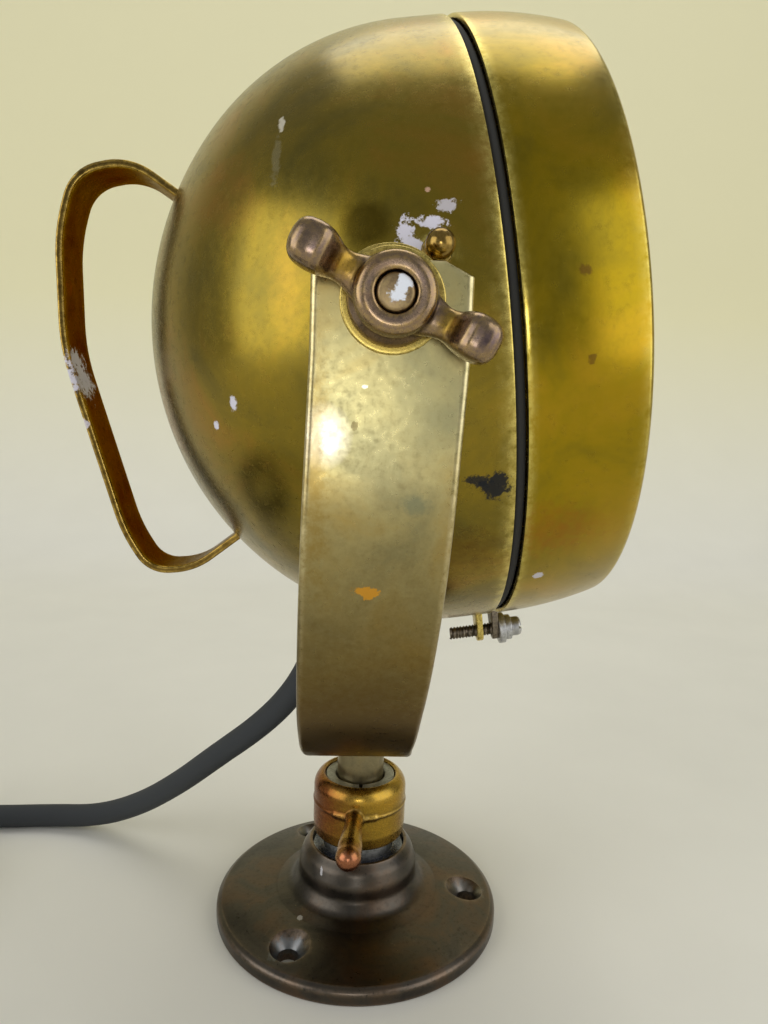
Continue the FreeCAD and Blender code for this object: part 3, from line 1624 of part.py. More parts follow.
def write_parts():
    """Write each sub-part to a file of its own."""
    os.makedirs("parts", exist_ok=True)
    for thing in parts:
        thing.Shape.exportStep(os.path.join("parts", thing.Label + ".step"))


make_base()
make_neck()
make_lock_nut()
make_post()
make_yoke()
make_pivots()
make_rear_shell()
make_seam()
make_front_rim()
make_glass()
neck_back, reflector_shift = make_reflector()
make_lamp(neck_back, reflector_shift)
make_clamp()
make_handle()
make_key()
gland_place = make_gland()
make_cord(gland_place)
coil_end, coil_way = make_coil()
tail_end, tail_way = make_tail(coil_end, coil_way)
make_plug(tail_end, tail_way)
make_leads(gland_place)
doc.recompute()
check_parts()
write_parts()
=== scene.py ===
"""Marine signal lamp in aged brass on a screw-down foot: dressed pieces, finishes, studio and camera.

Sizes are in millimetres in the fields and helpers, and each mesh is written in metres in the lamp's own
frame, so that every piece's object stays at the origin.
"""

import json
import logging
from dataclasses import dataclass
from enum import Enum
from math import asin, atan2, ceil, copysign, cos, degrees, pi, radians, sin, sqrt, tan
from typing import ClassVar, Dict, List, Optional, Sequence, Tuple

import bmesh
import bpy
import numpy as np
from bpy.types import Material, Mesh, Node, NodeSocket, NodeTree, Object
from mathutils import Matrix, Vector

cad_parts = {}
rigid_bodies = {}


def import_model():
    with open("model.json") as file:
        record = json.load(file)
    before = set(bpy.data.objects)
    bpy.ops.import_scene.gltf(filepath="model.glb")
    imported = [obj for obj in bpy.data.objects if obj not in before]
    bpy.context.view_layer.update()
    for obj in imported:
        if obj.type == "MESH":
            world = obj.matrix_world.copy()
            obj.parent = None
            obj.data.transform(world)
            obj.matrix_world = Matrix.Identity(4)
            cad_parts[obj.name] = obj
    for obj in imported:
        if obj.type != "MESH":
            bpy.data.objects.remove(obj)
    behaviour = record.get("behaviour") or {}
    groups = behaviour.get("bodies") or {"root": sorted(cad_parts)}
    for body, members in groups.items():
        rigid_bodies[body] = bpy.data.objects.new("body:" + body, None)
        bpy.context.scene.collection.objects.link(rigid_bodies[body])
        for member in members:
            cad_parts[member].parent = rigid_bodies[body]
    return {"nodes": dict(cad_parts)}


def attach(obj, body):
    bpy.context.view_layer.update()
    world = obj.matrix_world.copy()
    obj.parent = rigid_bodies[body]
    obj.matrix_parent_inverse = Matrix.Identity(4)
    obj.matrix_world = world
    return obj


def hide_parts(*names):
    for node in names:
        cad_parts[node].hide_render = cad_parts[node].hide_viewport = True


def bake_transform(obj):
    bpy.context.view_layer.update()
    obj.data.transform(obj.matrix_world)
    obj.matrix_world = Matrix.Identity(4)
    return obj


for leftover in list(bpy.data.objects):
    bpy.data.objects.remove(leftover)

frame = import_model()

LOG = logging.getLogger("signal_lamp")
MM = 0.001
PIVOT_HEIGHT = 179.0
# Degrees by which the head looks up at rest
HEAD_TILT = 8.3
# Where the key stands beside the near pivot, in millimetres forward and up
KEY_PLACE = (10.4, 10.3)
# Radius in millimetres at which an edge counts as fully proud
PROUD_RADIUS = 1.1

NOISE = "ShaderNodeTexNoise"
RANGE = "ShaderNodeMapRange"
MATH = "ShaderNodeMath"
VECTOR_MATH = "ShaderNodeVectorMath"

Spot = Tuple[float, float]
Triple = Tuple[float, float, float]


class Side(Enum):
    """The two pivots: near is towards the camera."""

    NEAR = -1
    FAR = 1


class Brush(Enum):
    """Way that the fine lines of a worked surface run."""

    NONE = "none"
    ROUND_THE_LAMP = "round the lamp's axis"
    ROUND_THE_POST = "round the post"
    ALONG_THE_BAR = "up the bar"


def spun(angle: float, axis: str) -> Matrix:
    """Turn by an angle in degrees about an axis."""
    return Matrix.Rotation(radians(angle), 4, axis)


def outward(side: Side) -> Matrix:
    """Turn that lays the x axis along the pivot, pointing out on one side."""
    return spun(90.0 * side.value, "Z")


def aimed(way: Vector) -> Matrix:
    """Turn that lays the x axis along a way."""
    return Vector((1.0, 0.0, 0.0)).rotation_difference(way).to_matrix().to_4x4()


def shifted(x: float, y: float, z: float) -> Matrix:
    """Translation given in millimetres."""
    return Matrix.Translation((x * MM, y * MM, z * MM))


HEAD = shifted(0.0, 0.0, PIVOT_HEIGHT) @ spun(-HEAD_TILT, "Y")
UPRIGHT = spun(-90.0, "Y")
FLOOR = Matrix.Identity(4)


# Lines and meshes


def rounded(corners: Sequence[Sequence[float]], closed: bool = True, turn_step: float = 9.0) -> List[Spot]:
    """Turn a cornered line into one with round corners.

    Args:
        corners: points (along, radius) or (along, radius, fillet), in millimetres.
        closed: whether the last point joins the first.
        turn_step: angle between points on a round corner, in degrees.

    Returns:
        Points of the line.
    """
    line: List[Spot] = []
    count = len(corners)
    for index, corner in enumerate(corners):
        here = Vector(corner[:2])
        fillet = corner[2] if len(corner) > 2 else 0.0
        inner = closed or 0 < index < count - 1
        if fillet <= 0.0 or not inner:
            line.append((here.x, here.y))
            continue
        before = Vector(corners[index - 1][:2]) - here
        after = Vector(corners[(index + 1) % count][:2]) - here
        half = before.angle(after) / 2
        reach = min(fillet / tan(half), 0.49 * before.length, 0.49 * after.length)
        radius = reach * tan(half)
        bisector = (before.normalized() + after.normalized()).normalized()
        centre = here + bisector * (radius / sin(half))
        start = here + before.normalized() * reach - centre
        turn = (here + after.normalized() * reach - centre).angle_signed(start)
        steps = max(2, ceil(abs(degrees(turn)) / turn_step))
        for step in range(steps + 1):
            spin = Matrix.Rotation(turn * step / steps, 2)
            place = centre + spin @ start
            line.append((place.x, place.y))
    return line


def bow(start: Spot, end: Spot, radius: float, steps: int = 16) -> List[Spot]:
    """Arc between two points, ends left out.

    Args:
        start: first point.
        end: last point.
        radius: radius, positive where the arc bulges to the left of the way from start to end.
        steps: number of runs.

    Returns:
        Points between start and end.
    """
    first, last = Vector(start), Vector(end)
    chord = last - first
    left = Vector((-chord.y, chord.x)).normalized()
    size = abs(radius)
    rise = sqrt(max(size * size - chord.length_squared / 4, 0.0))
    hand = 1.0 if radius > 0 else -1.0
    centre = (first + last) / 2 - left * (rise * hand)
    arm = first - centre
    turn = (last - centre).angle_signed(arm)
    places = [centre + Matrix.Rotation(turn * step / steps, 2) @ arm for step in range(1, steps)]
    return [(place.x, place.y) for place in places]


def fine(line: Sequence[Spot], step: float, closed: bool = True) -> List[Spot]:
    """Add points to long runs, with one close to each end, so that wear stays near the edges."""
    result: List[Spot] = []
    count = len(line)
    for index in range(count if closed else count - 1):
        start, end = Vector(line[index]), Vector(line[(index + 1) % count])
        length = (end - start).length
        result.append(line[index])
        if length < 0.9:
            continue
        shares = {0.35 / length, 1.0 - 0.35 / length}
        runs = max(1, ceil(length / step))
        shares.update(part / runs for part in range(1, runs))
        for share in sorted(shares):
            place = start.lerp(end, share)
            result.append((place.x, place.y))
    if not closed:
        result.append(line[-1])
    return result


def arc(centre: Spot, radius: float, start: float, end: float, steps: int) -> List[Spot]:
    """Points of an arc with both its ends, between two angles in radians."""
    turns = [start + (end - start) * step / steps for step in range(steps + 1)]
    return [(centre[0] + radius * cos(turn), centre[1] + radius * sin(turn)) for turn in turns]


def heading(line: Sequence[Sequence[float]], index: int) -> Vector:
    """Way that a line runs at one of its points."""
    before, after = line[max(index - 1, 0)], line[min(index + 1, len(line) - 1)]
    return (Vector(after) - Vector(before)).normalized()


def sleeve(rows: int, size: int) -> List[Tuple[int, ...]]:
    """Faces round rows of as many points each, closed at both ends."""
    faces: List[Tuple[int, ...]] = []
    for low in range(0, (rows - 1) * size, size):
        high = low + size
        for step in range(size):
            after = (step + 1) % size
            faces.append((low + step, low + after, high + after, high + step))
    return faces + [tuple(range(size)), tuple(range((rows - 1) * size, rows * size))]


def new_piece(name: str, data: bpy.types.ID) -> Object:
    """Link an object for a mesh, a curve, a lamp or a camera."""
    piece = bpy.data.objects.new(name, data)
    bpy.context.scene.collection.objects.link(piece)
    return piece


def weather(mesh: Mesh) -> None:
    """Store how proud and how sunken each vertex is, which worn edges and dirt follow."""
    count = len(mesh.vertices)
    place = np.empty(count * 3)
    mesh.vertices.foreach_get("co", place)
    place = place.reshape(-1, 3)
    normal = np.empty(count * 3)
    mesh.vertex_normals.foreach_get("vector", normal)
    normal = normal.reshape(-1, 3)
    ends = np.empty(len(mesh.edges) * 2, dtype=np.int64)
    mesh.edges.foreach_get("vertices", ends)
    ends = ends.reshape(-1, 2)
    run = place[ends[:, 1]] - place[ends[:, 0]]
    size = np.maximum((run ** 2).sum(1), 1e-12)
    bend_here = -2 * (normal[ends[:, 0]] * run).sum(1) / size
    bend_there = 2 * (normal[ends[:, 1]] * run).sum(1) / size
    share = np.bincount(ends.ravel(), minlength=count).clip(1)
    for name, hand in (("proud", 1.0), ("sunk", -1.0)):
        value = np.zeros(count)
        np.maximum.at(value, ends[:, 0], bend_here * hand)
        np.maximum.at(value, ends[:, 1], bend_there * hand)
        value = np.clip(value * PROUD_RADIUS * MM, 0.0, 1.0)
        for _ in range(2):
            total = np.zeros(count)
            np.add.at(total, ends[:, 0], value[ends[:, 1]])
            np.add.at(total, ends[:, 1], value[ends[:, 0]])
            value = 0.5 * value + 0.5 * total / share
        layer = mesh.attributes.get(name) or mesh.attributes.new(name, "FLOAT", "POINT")
        layer.data.foreach_set("value", value.astype(np.float32))


def smooth(piece: Object, angle: float = 32.0) -> Object:
    """Shade smooth except across sharp edges, and store the wear attributes."""
    mesh = piece.data
    mesh.shade_smooth()
    mesh.set_sharp_from_angle(angle=radians(angle))
    weather(mesh)
    return piece


def from_bmesh(name: str, shape: bmesh.types.BMesh) -> Object:
    """Turn a working mesh into a piece and free it."""
    mesh = bpy.data.meshes.new(name)
    shape.to_mesh(mesh)
    shape.free()
    return new_piece(name, mesh)


def joined(name: str, pieces: Sequence[Object]) -> Object:
    """Join pieces into one, which uses them up."""
    shape = bmesh.new()
    for piece in pieces:
        shape.from_mesh(piece.data)
        bpy.data.objects.remove(piece)
    return from_bmesh(name, shape)


def solid(name: str, vertices: Sequence[Vector], faces: Sequence[Sequence[int]], place: Matrix) -> Object:
    """Closed mesh from points in millimetres, its faces turned outwards.

    Args:
        name: name of the piece.
        vertices: points in millimetres.
        faces: corner numbers of each face.
        place: placement in metres.

    Returns:
        The piece, at the origin.
    """
    mesh = bpy.data.meshes.new(name)
    mesh.from_pydata([place @ (Vector(vertex) * MM) for vertex in vertices], [], faces)
    shape = bmesh.new()
    shape.from_mesh(mesh)
    bmesh.ops.remove_doubles(shape, verts=shape.verts, dist=1e-7)
    bmesh.ops.recalc_face_normals(shape, faces=shape.faces)
    shape.to_mesh(mesh)
    shape.free()
    return new_piece(name, mesh)


def lathe(
    name: str, line: Sequence[Spot], place: Matrix, steps: int = 160, closed: bool = True
) -> Object:
    """Turn a line round its axis into a closed solid.

    Args:
        name: name of the piece.
        line: points (along, radius) in millimetres.
        place: placement whose x axis is the axis of turning.
        steps: number of runs round the axis.
        closed: whether the last point joins the first.

    Returns:
        The piece, at the origin.
    """
    vertices: List[Vector] = []
    rings: List[List[int]] = []
    for along, radius in line:
        first = len(vertices)
        if radius < 1e-6:
            vertices.append(Vector((along, 0.0, 0.0)))
            rings.append([first])
            continue
        places = arc((0.0, 0.0), radius, 0.0, 2 * pi, steps)[:-1]
        vertices += [Vector((along, *place)) for place in places]
        rings.append(list(range(first, first + steps)))
    pairs = list(zip(rings, rings[1:]))
    if closed:
        pairs.append((rings[-1], rings[0]))
    faces: List[Tuple[int, ...]] = []
    for low, high in pairs:
        for step in range(steps):
            after = (step + 1) % steps
            if len(low) == 1 and len(high) == 1:
                break
            if len(low) == 1:
                faces.append((low[0], high[after], high[step]))
            elif len(high) == 1:
                faces.append((low[step], low[after], high[0]))
            else:
                faces.append((low[step], low[after], high[after], high[step]))
    return solid(name, vertices, faces, place)


def ring(
    name: str, low: float, high: float, bore: float, radius: float, place: Matrix,
    fillet: float = 0.25, steps: int = 96,
) -> Object:
    """Washer with rounded edges, between two places along its axis."""
    line = rounded([(low, bore, fillet), (high, bore, fillet), (high, radius, fillet), (low, radius, fillet)])
    return smooth(lathe(name, fine(line, 1.5), place, steps))


def tunnel(radius: float, start: Vector, end: Vector, steps: int = 64) -> Object:
    """Round cutter between two points in metres."""
    length = (end - start).length / MM
    line = [(0.0, 0.0), (0.0, radius), (length, radius), (length, 0.0)]
    return lathe("cutter", line, Matrix.Translation(start) @ aimed(end - start), steps, closed=False)


def settle(piece: Object) -> Object:
    """Make a piece's modifiers part of its mesh."""
    graph = bpy.context.evaluated_depsgraph_get()
    mesh = bpy.data.meshes.new_from_object(piece.evaluated_get(graph))
    piece.modifiers.clear()
    piece.data = mesh
    return piece


def broken(piece: Object, width: float, angle: float) -> Object:
    """Break a piece's edges that turn by more than an angle in degrees, by a width in millimetres."""
    soften = piece.modifiers.new("broken_edges", "BEVEL")
    soften.limit_method = "ANGLE"
    soften.angle_limit = radians(angle)
    soften.width = width * MM
    soften.segments = 2
    return settle(piece)


def drilled(piece: Object, cutters: Sequence[Object]) -> Object:
    """Take cutters out of a piece, which uses them up."""
    for cutter in cutters:
        change = piece.modifiers.new("cut", "BOOLEAN")
        change.operation = "DIFFERENCE"
        change.solver = "EXACT"
        change.object = cutter
    settle(piece)
    for cutter in cutters:
        bpy.data.objects.remove(cutter)
    return piece


def cast(name: str, lumps: Sequence[Object], grain: float, passes: int) -> Object:
    """Melt overlapping lumps into one cast form with soft inner corners.

    Args:
        name: name of the piece.
        lumps: closed pieces, which are used up.
        grain: size of the new faces in millimetres.
        passes: number of smoothing passes.

    Returns:
        One closed piece.
    """
    piece = joined(name, lumps)
    melt = piece.modifiers.new("melt", "REMESH")
    melt.mode = "VOXEL"
    melt.voxel_size = grain * MM
    soften = piece.modifiers.new("soften", "SMOOTH")
    soften.factor = 0.5
    soften.iterations = passes
    return settle(piece)


def loft(name: str, sections: Sequence[Sequence[float]], place: Matrix, around: int = 40) -> Object:
    """Closed form through rounded sections.

    Args:
        name: name of the piece.
        sections: (along, centre height, half width, half height, power); power 2 is an ellipse, 8 nearly
            a box. Along is y, height is x and width is z.
        place: placement in metres.
        around: points round each section.

    Returns:
        The piece, at the origin.
    """
    vertices: List[Vector] = []
    for along, centre, half_width, half_height, power in sections:
        for cosine, sine in arc((0.0, 0.0), 1.0, 0.0, 2 * pi, around)[:-1]:
            across = copysign(abs(cosine) ** (2 / power), cosine) * half_width
            high = copysign(abs(sine) ** (2 / power), sine) * half_height
            vertices.append(Vector((centre + high, along, across)))
    return solid(name, vertices, sleeve(len(sections), around), place)


def bar(
    name: str, line: Sequence[Spot], plane: Matrix, width: Sequence[float], thickness: float, fillet: float,
    sway: Optional[Sequence[float]] = None,
) -> Object:
    """Flat bar bent along a line, with rounded long edges.

    Args:
        name: name of the piece.
        line: middle line of the bar (x, z) in its plane, in millimetres.
        plane: placement whose x and z hold the line and whose y is across the bar.
        width: width at each point of the line.
        thickness: thickness of the bar.
        fillet: radius of the long edges.
        sway: shift across the bar at each point of the line, none where left out.

    Returns:
        The piece, at the origin.
    """
    vertices: List[Vector] = []
    half, thick = max(width) / 2, thickness / 2
    corners = [(-half, -thick, fillet), (half, -thick, fillet), (half, thick, fillet), (-half, thick, fillet)]
    section = fine(rounded(corners, turn_step=15.0), 2.4)
    for index, place in enumerate(line):
        way = heading(line, index)
        across = Vector((-way.y, way.x))
        shift = sway[index] if sway else 0.0
        for wide, high in section:
            spot = Vector(place) + across * high
            vertices.append(Vector((spot.x, wide * width[index] / (2 * half) + shift, spot.y)))
    return solid(name, vertices, sleeve(len(line), len(section)), plane)


def eased(corners: Sequence[Spot], share: float) -> List[Spot]:
    """Round a line's corners, each over a share of its shorter run."""
    made: List[Tuple[float, float, float]] = []
    for index, corner in enumerate(corners):
        if index in (0, len(corners) - 1):
            made.append((corner[0], corner[1], 0.0))
            continue
        before = Vector(corners[index - 1]) - Vector(corner)
        after = Vector(corners[index + 1]) - Vector(corner)
        reach = share * min(before.length, after.length)
        made.append((corner[0], corner[1], reach * tan(before.angle(after) / 2)))
    return rounded(made, closed=False, turn_step=3.0)


def merged_copy(node: str, name: str, bevel: float = 0.25) -> Object:
    """Copy a CAD node with its triangles joined, its flat faces whole and its sharp edges broken.

    Args:
        node: name of the CAD node.
        name: name of the new piece.
        bevel: width of the broken edges in millimetres.

    Returns:
        The piece, at the origin.
    """
    shape = bmesh.new()
    shape.from_mesh(frame["nodes"][node].data)
    bmesh.ops.remove_doubles(shape, verts=shape.verts, dist=2e-6)
    bmesh.ops.dissolve_degenerate(shape, dist=1e-6, edges=shape.edges)
    bmesh.ops.dissolve_limit(shape, angle_limit=radians(0.4), verts=shape.verts, edges=shape.edges)
    piece = from_bmesh(name, shape)
    return smooth(broken(piece, bevel, 35.0) if bevel > 0 else piece)


def tube(name: str, places: Sequence[Vector], radius: float, around: int = 20) -> Object:
    """Round tube along points in metres, closed at both ends.

    Args:
        name: name of the piece.
        places: points of its middle line in metres.
        radius: radius in millimetres.
        around: points round the tube.

    Returns:
        The piece, at the origin.
    """
    vertices: List[Vector] = []
    way = heading(places, 0)
    side = way.orthogonal().normalized()
    for index, place in enumerate(places):
        new_way = heading(places, index)
        side = way.rotation_difference(new_way) @ side
        side = (side - new_way * side.dot(new_way)).normalized()
        way = new_way
        other = way.cross(side)
        for cosine, sine in arc((0.0, 0.0), 1.0, 0.0, 2 * pi, around)[:-1]:
            vertices.append((place + (side * cosine + other * sine) * (radius * MM)) / MM)
    return solid(name, vertices, sleeve(len(places), around), FLOOR)


# Geometry node trees


def grown(name: str, tree: NodeTree, sizes: Dict[str, float]) -> Object:
    """Run a geometry tree with its sizes and keep the result as a plain mesh.

    Args:
        name: name of the piece.
        tree: geometry tree with named inputs.
        sizes: value of each named input.

    Returns:
        The piece, at the origin.
    """
    piece = new_piece(name, bpy.data.meshes.new(name))
    change = piece.modifiers.new("grow", "NODES")
    change.node_group = tree
    keys = {item.name: item.identifier for item in tree.interface.items_tree if item.in_out == "INPUT"}
    for label, value in sizes.items():
        change[keys[label]] = value
    return settle(piece)


def geometry_tree(name: str, inputs: Sequence[str]) -> Tuple[NodeTree, List[NodeSocket], Node]:
    """Empty geometry tree with named float inputs: the tree, the inputs' sockets and its output node."""
    tree = bpy.data.node_groups.new(name, "GeometryNodeTree")
    tree.interface.new_socket("Geometry", in_out="OUTPUT", socket_type="NodeSocketGeometry")
    for label in inputs:
        tree.interface.new_socket(label, in_out="INPUT", socket_type="NodeSocketFloat")
    given = tree.nodes.new("NodeGroupInput")
    return tree, [given.outputs[label] for label in inputs], tree.nodes.new("NodeGroupOutput")


def fill(tree: NodeTree, node: Node, values: dict) -> None:
    """Set a node's inputs, each to a value, a socket or a node's first output."""
    for socket, value in values.items():
        source = value.outputs[0] if isinstance(value, Node) else value
        if isinstance(source, NodeSocket):
            tree.links.new(source, node.inputs[socket])
        else:
            node.inputs[socket].default_value = source


def add(tree: NodeTree, kind: str, values: Optional[dict] = None, **settings) -> Node:
    """Add a node, set its properties, and fill or link its inputs.

    Args:
        tree: tree that takes the node.
        kind: the node's type.
        values: socket name or number to a value, a socket or a node.
        settings: properties of the node.

    Returns:
        The node.
    """
    node = tree.nodes.new(kind)
    for label, value in settings.items():
        setattr(node, label, value)
    fill(tree, node, values or {})
    return node


def finished_tree(tree: NodeTree, shape: Node, material: Material, out: Node) -> NodeTree:
    """Make a tree's instances real, give them a material and put them out."""
    real = add(tree, "GeometryNodeRealizeInstances", {0: shape})
    fill(tree, out, {0: add(tree, "GeometryNodeSetMaterial", {"Geometry": real, "Material": material})})
    return tree


def thread_tree(material: Material) -> NodeTree:
    """Screw thread: a core with a helical ridge, standing on its axis."""
    tree, inputs, out = geometry_tree("screw_thread", ("Core Radius", "Ridge", "Pitch", "Length"))
    radius, ridge, pitch, length = inputs
    turns = add(tree, MATH, {0: length, 1: pitch}, operation="DIVIDE")
    helix = add(
        tree, "GeometryNodeCurveSpiral",
        {
            "Resolution": 28, "Rotations": turns, "Start Radius": radius, "End Radius": radius,
            "Height": length,
        },
    )
    section = add(tree, "GeometryNodeCurvePrimitiveCircle", {"Resolution": 4, "Radius": ridge}, mode="RADIUS")
    coiled = add(
        tree, "GeometryNodeCurveToMesh", {"Curve": helix, "Profile Curve": section, "Fill Caps": True}
    )
    half = add(tree, MATH, {0: length, 1: 0.5}, operation="MULTIPLY")
    middle = add(tree, "ShaderNodeCombineXYZ", {"Z": half})
    core = add(tree, "GeometryNodeMeshCylinder", {"Vertices": 40, "Radius": radius, "Depth": length})
    raised = add(tree, "GeometryNodeTransform", {"Geometry": core, "Translation": middle})
    both = add(tree, "GeometryNodeJoinGeometry", {0: coiled})
    fill(tree, both, {0: raised})
    return finished_tree(tree, both, material, out)


def round_the_axis_tree(name: str, pattern: Object, material: Material) -> NodeTree:
    """Copies of one piece set evenly round the x axis, with a count and a first angle."""
    tree, (count, first), out = geometry_tree(name, ("Count", "First Angle"))
    shape = add(tree, "GeometryNodeObjectInfo", {"Object": pattern, "As Instance": True})
    points = add(tree, "GeometryNodePoints", {"Count": count})
    number = add(tree, "GeometryNodeInputIndex")
    step = add(tree, MATH, {0: 2 * pi, 1: count}, operation="DIVIDE")
    angle = add(tree, MATH, {0: number, 1: step, 2: first}, operation="MULTIPLY_ADD")
    turn = add(tree, "ShaderNodeCombineXYZ", {"X": angle})
    copies = add(
        tree, "GeometryNodeInstanceOnPoints",
        {"Points": points, "Instance": shape.outputs["Geometry"], "Rotation": turn},
    )
    return finished_tree(tree, copies, material, out)


# Finishes


def linear(code: str) -> Tuple[float, float, float, float]:
    """Linear colour of an sRGB hex value."""
    made = []
    for start in (1, 3, 5):
        value = int(code[start:start + 2], 16) / 255.0
        made.append(value / 12.92 if value <= 0.04045 else ((value + 0.055) / 1.055) ** 2.4)
    return made[0], made[1], made[2], 1.0


def per_mm(size: float) -> float:
    """Texture scale whose features are about so many millimetres."""
    return 1.0 / (size * MM)


def blended(tree: NodeTree, amount, first, second) -> NodeSocket:
    """Colour between two, by an amount that is a number, a socket or a node."""
    return add(tree, "ShaderNodeMix", {0: amount, 6: first, 7: second}, data_type="RGBA").outputs[2]


@dataclass(frozen=True)
class Mark:
    """A fleck of paint, a stained patch or a patch of painted highlight, reflection or shade at one place on
    the lamp at rest, in millimetres.
    """

    place: Triple
    size: Triple
    colour: str
    strength: float = 1.0
    ragged: float = 0.9
    soft: float = 0.25
    paint: bool = True

    def mask(self, tree: NodeTree, spots: NodeSocket, noise: Node) -> Node:
        """How much of the mark covers each point."""
        centre = tuple(value * MM for value in self.place)
        scale = tuple(per_mm(value) for value in self.size)
        away = add(tree, VECTOR_MATH, {0: spots, 1: centre}, operation="SUBTRACT")
        squeezed = add(tree, VECTOR_MATH, {0: away, 1: scale}, operation="MULTIPLY")
        far = add(tree, VECTOR_MATH, {0: squeezed}, operation="LENGTH").outputs["Value"]
        torn = add(tree, MATH, {0: noise, 1: self.ragged * 3.0, 2: far}, operation="MULTIPLY_ADD")
        edge = 1.0 + self.ragged * 1.5
        reach = {"From Min": edge - self.soft, "From Max": edge, "To Min": self.strength, "To Max": 0.0}
        return add(tree, RANGE, {"Value": torn, **reach})


def stain_and_painted_light(
    place: Triple, size: Triple, colour: str, strength: float, ragged: float = 0.9, soft: float = 0.25
) -> Mark:
    """A mark that stays metal: stains in the metal's own surface, and patches of painted highlight,
    reflection and shade.
    """
    return Mark(place, size, colour, strength, ragged, soft, paint=False)


@dataclass(frozen=True)
class Finish:
    """What every finish has: a name, and a material that is made once."""

    METALLIC: ClassVar[float] = 0.0

    name: str

    def material(self) -> Material:
        """The finish as a material, made once."""
        known = bpy.data.materials.get(self.name)
        if known:
            return known
        material = bpy.data.materials.new(self.name)
        material.use_nodes = True
        tree = material.node_tree
        spots = add(tree, "ShaderNodeTexCoord").outputs["Object"]
        shader = tree.nodes["Principled BSDF"]
        fill(tree, shader, {"Metallic": self.METALLIC})
        fill(tree, shader, self.surface(tree, spots))
        return material

    def surface(self, tree: NodeTree, spots: NodeSocket) -> dict:
        """Inputs of the surface shader: a value, a socket or a node for each."""
        raise NotImplementedError


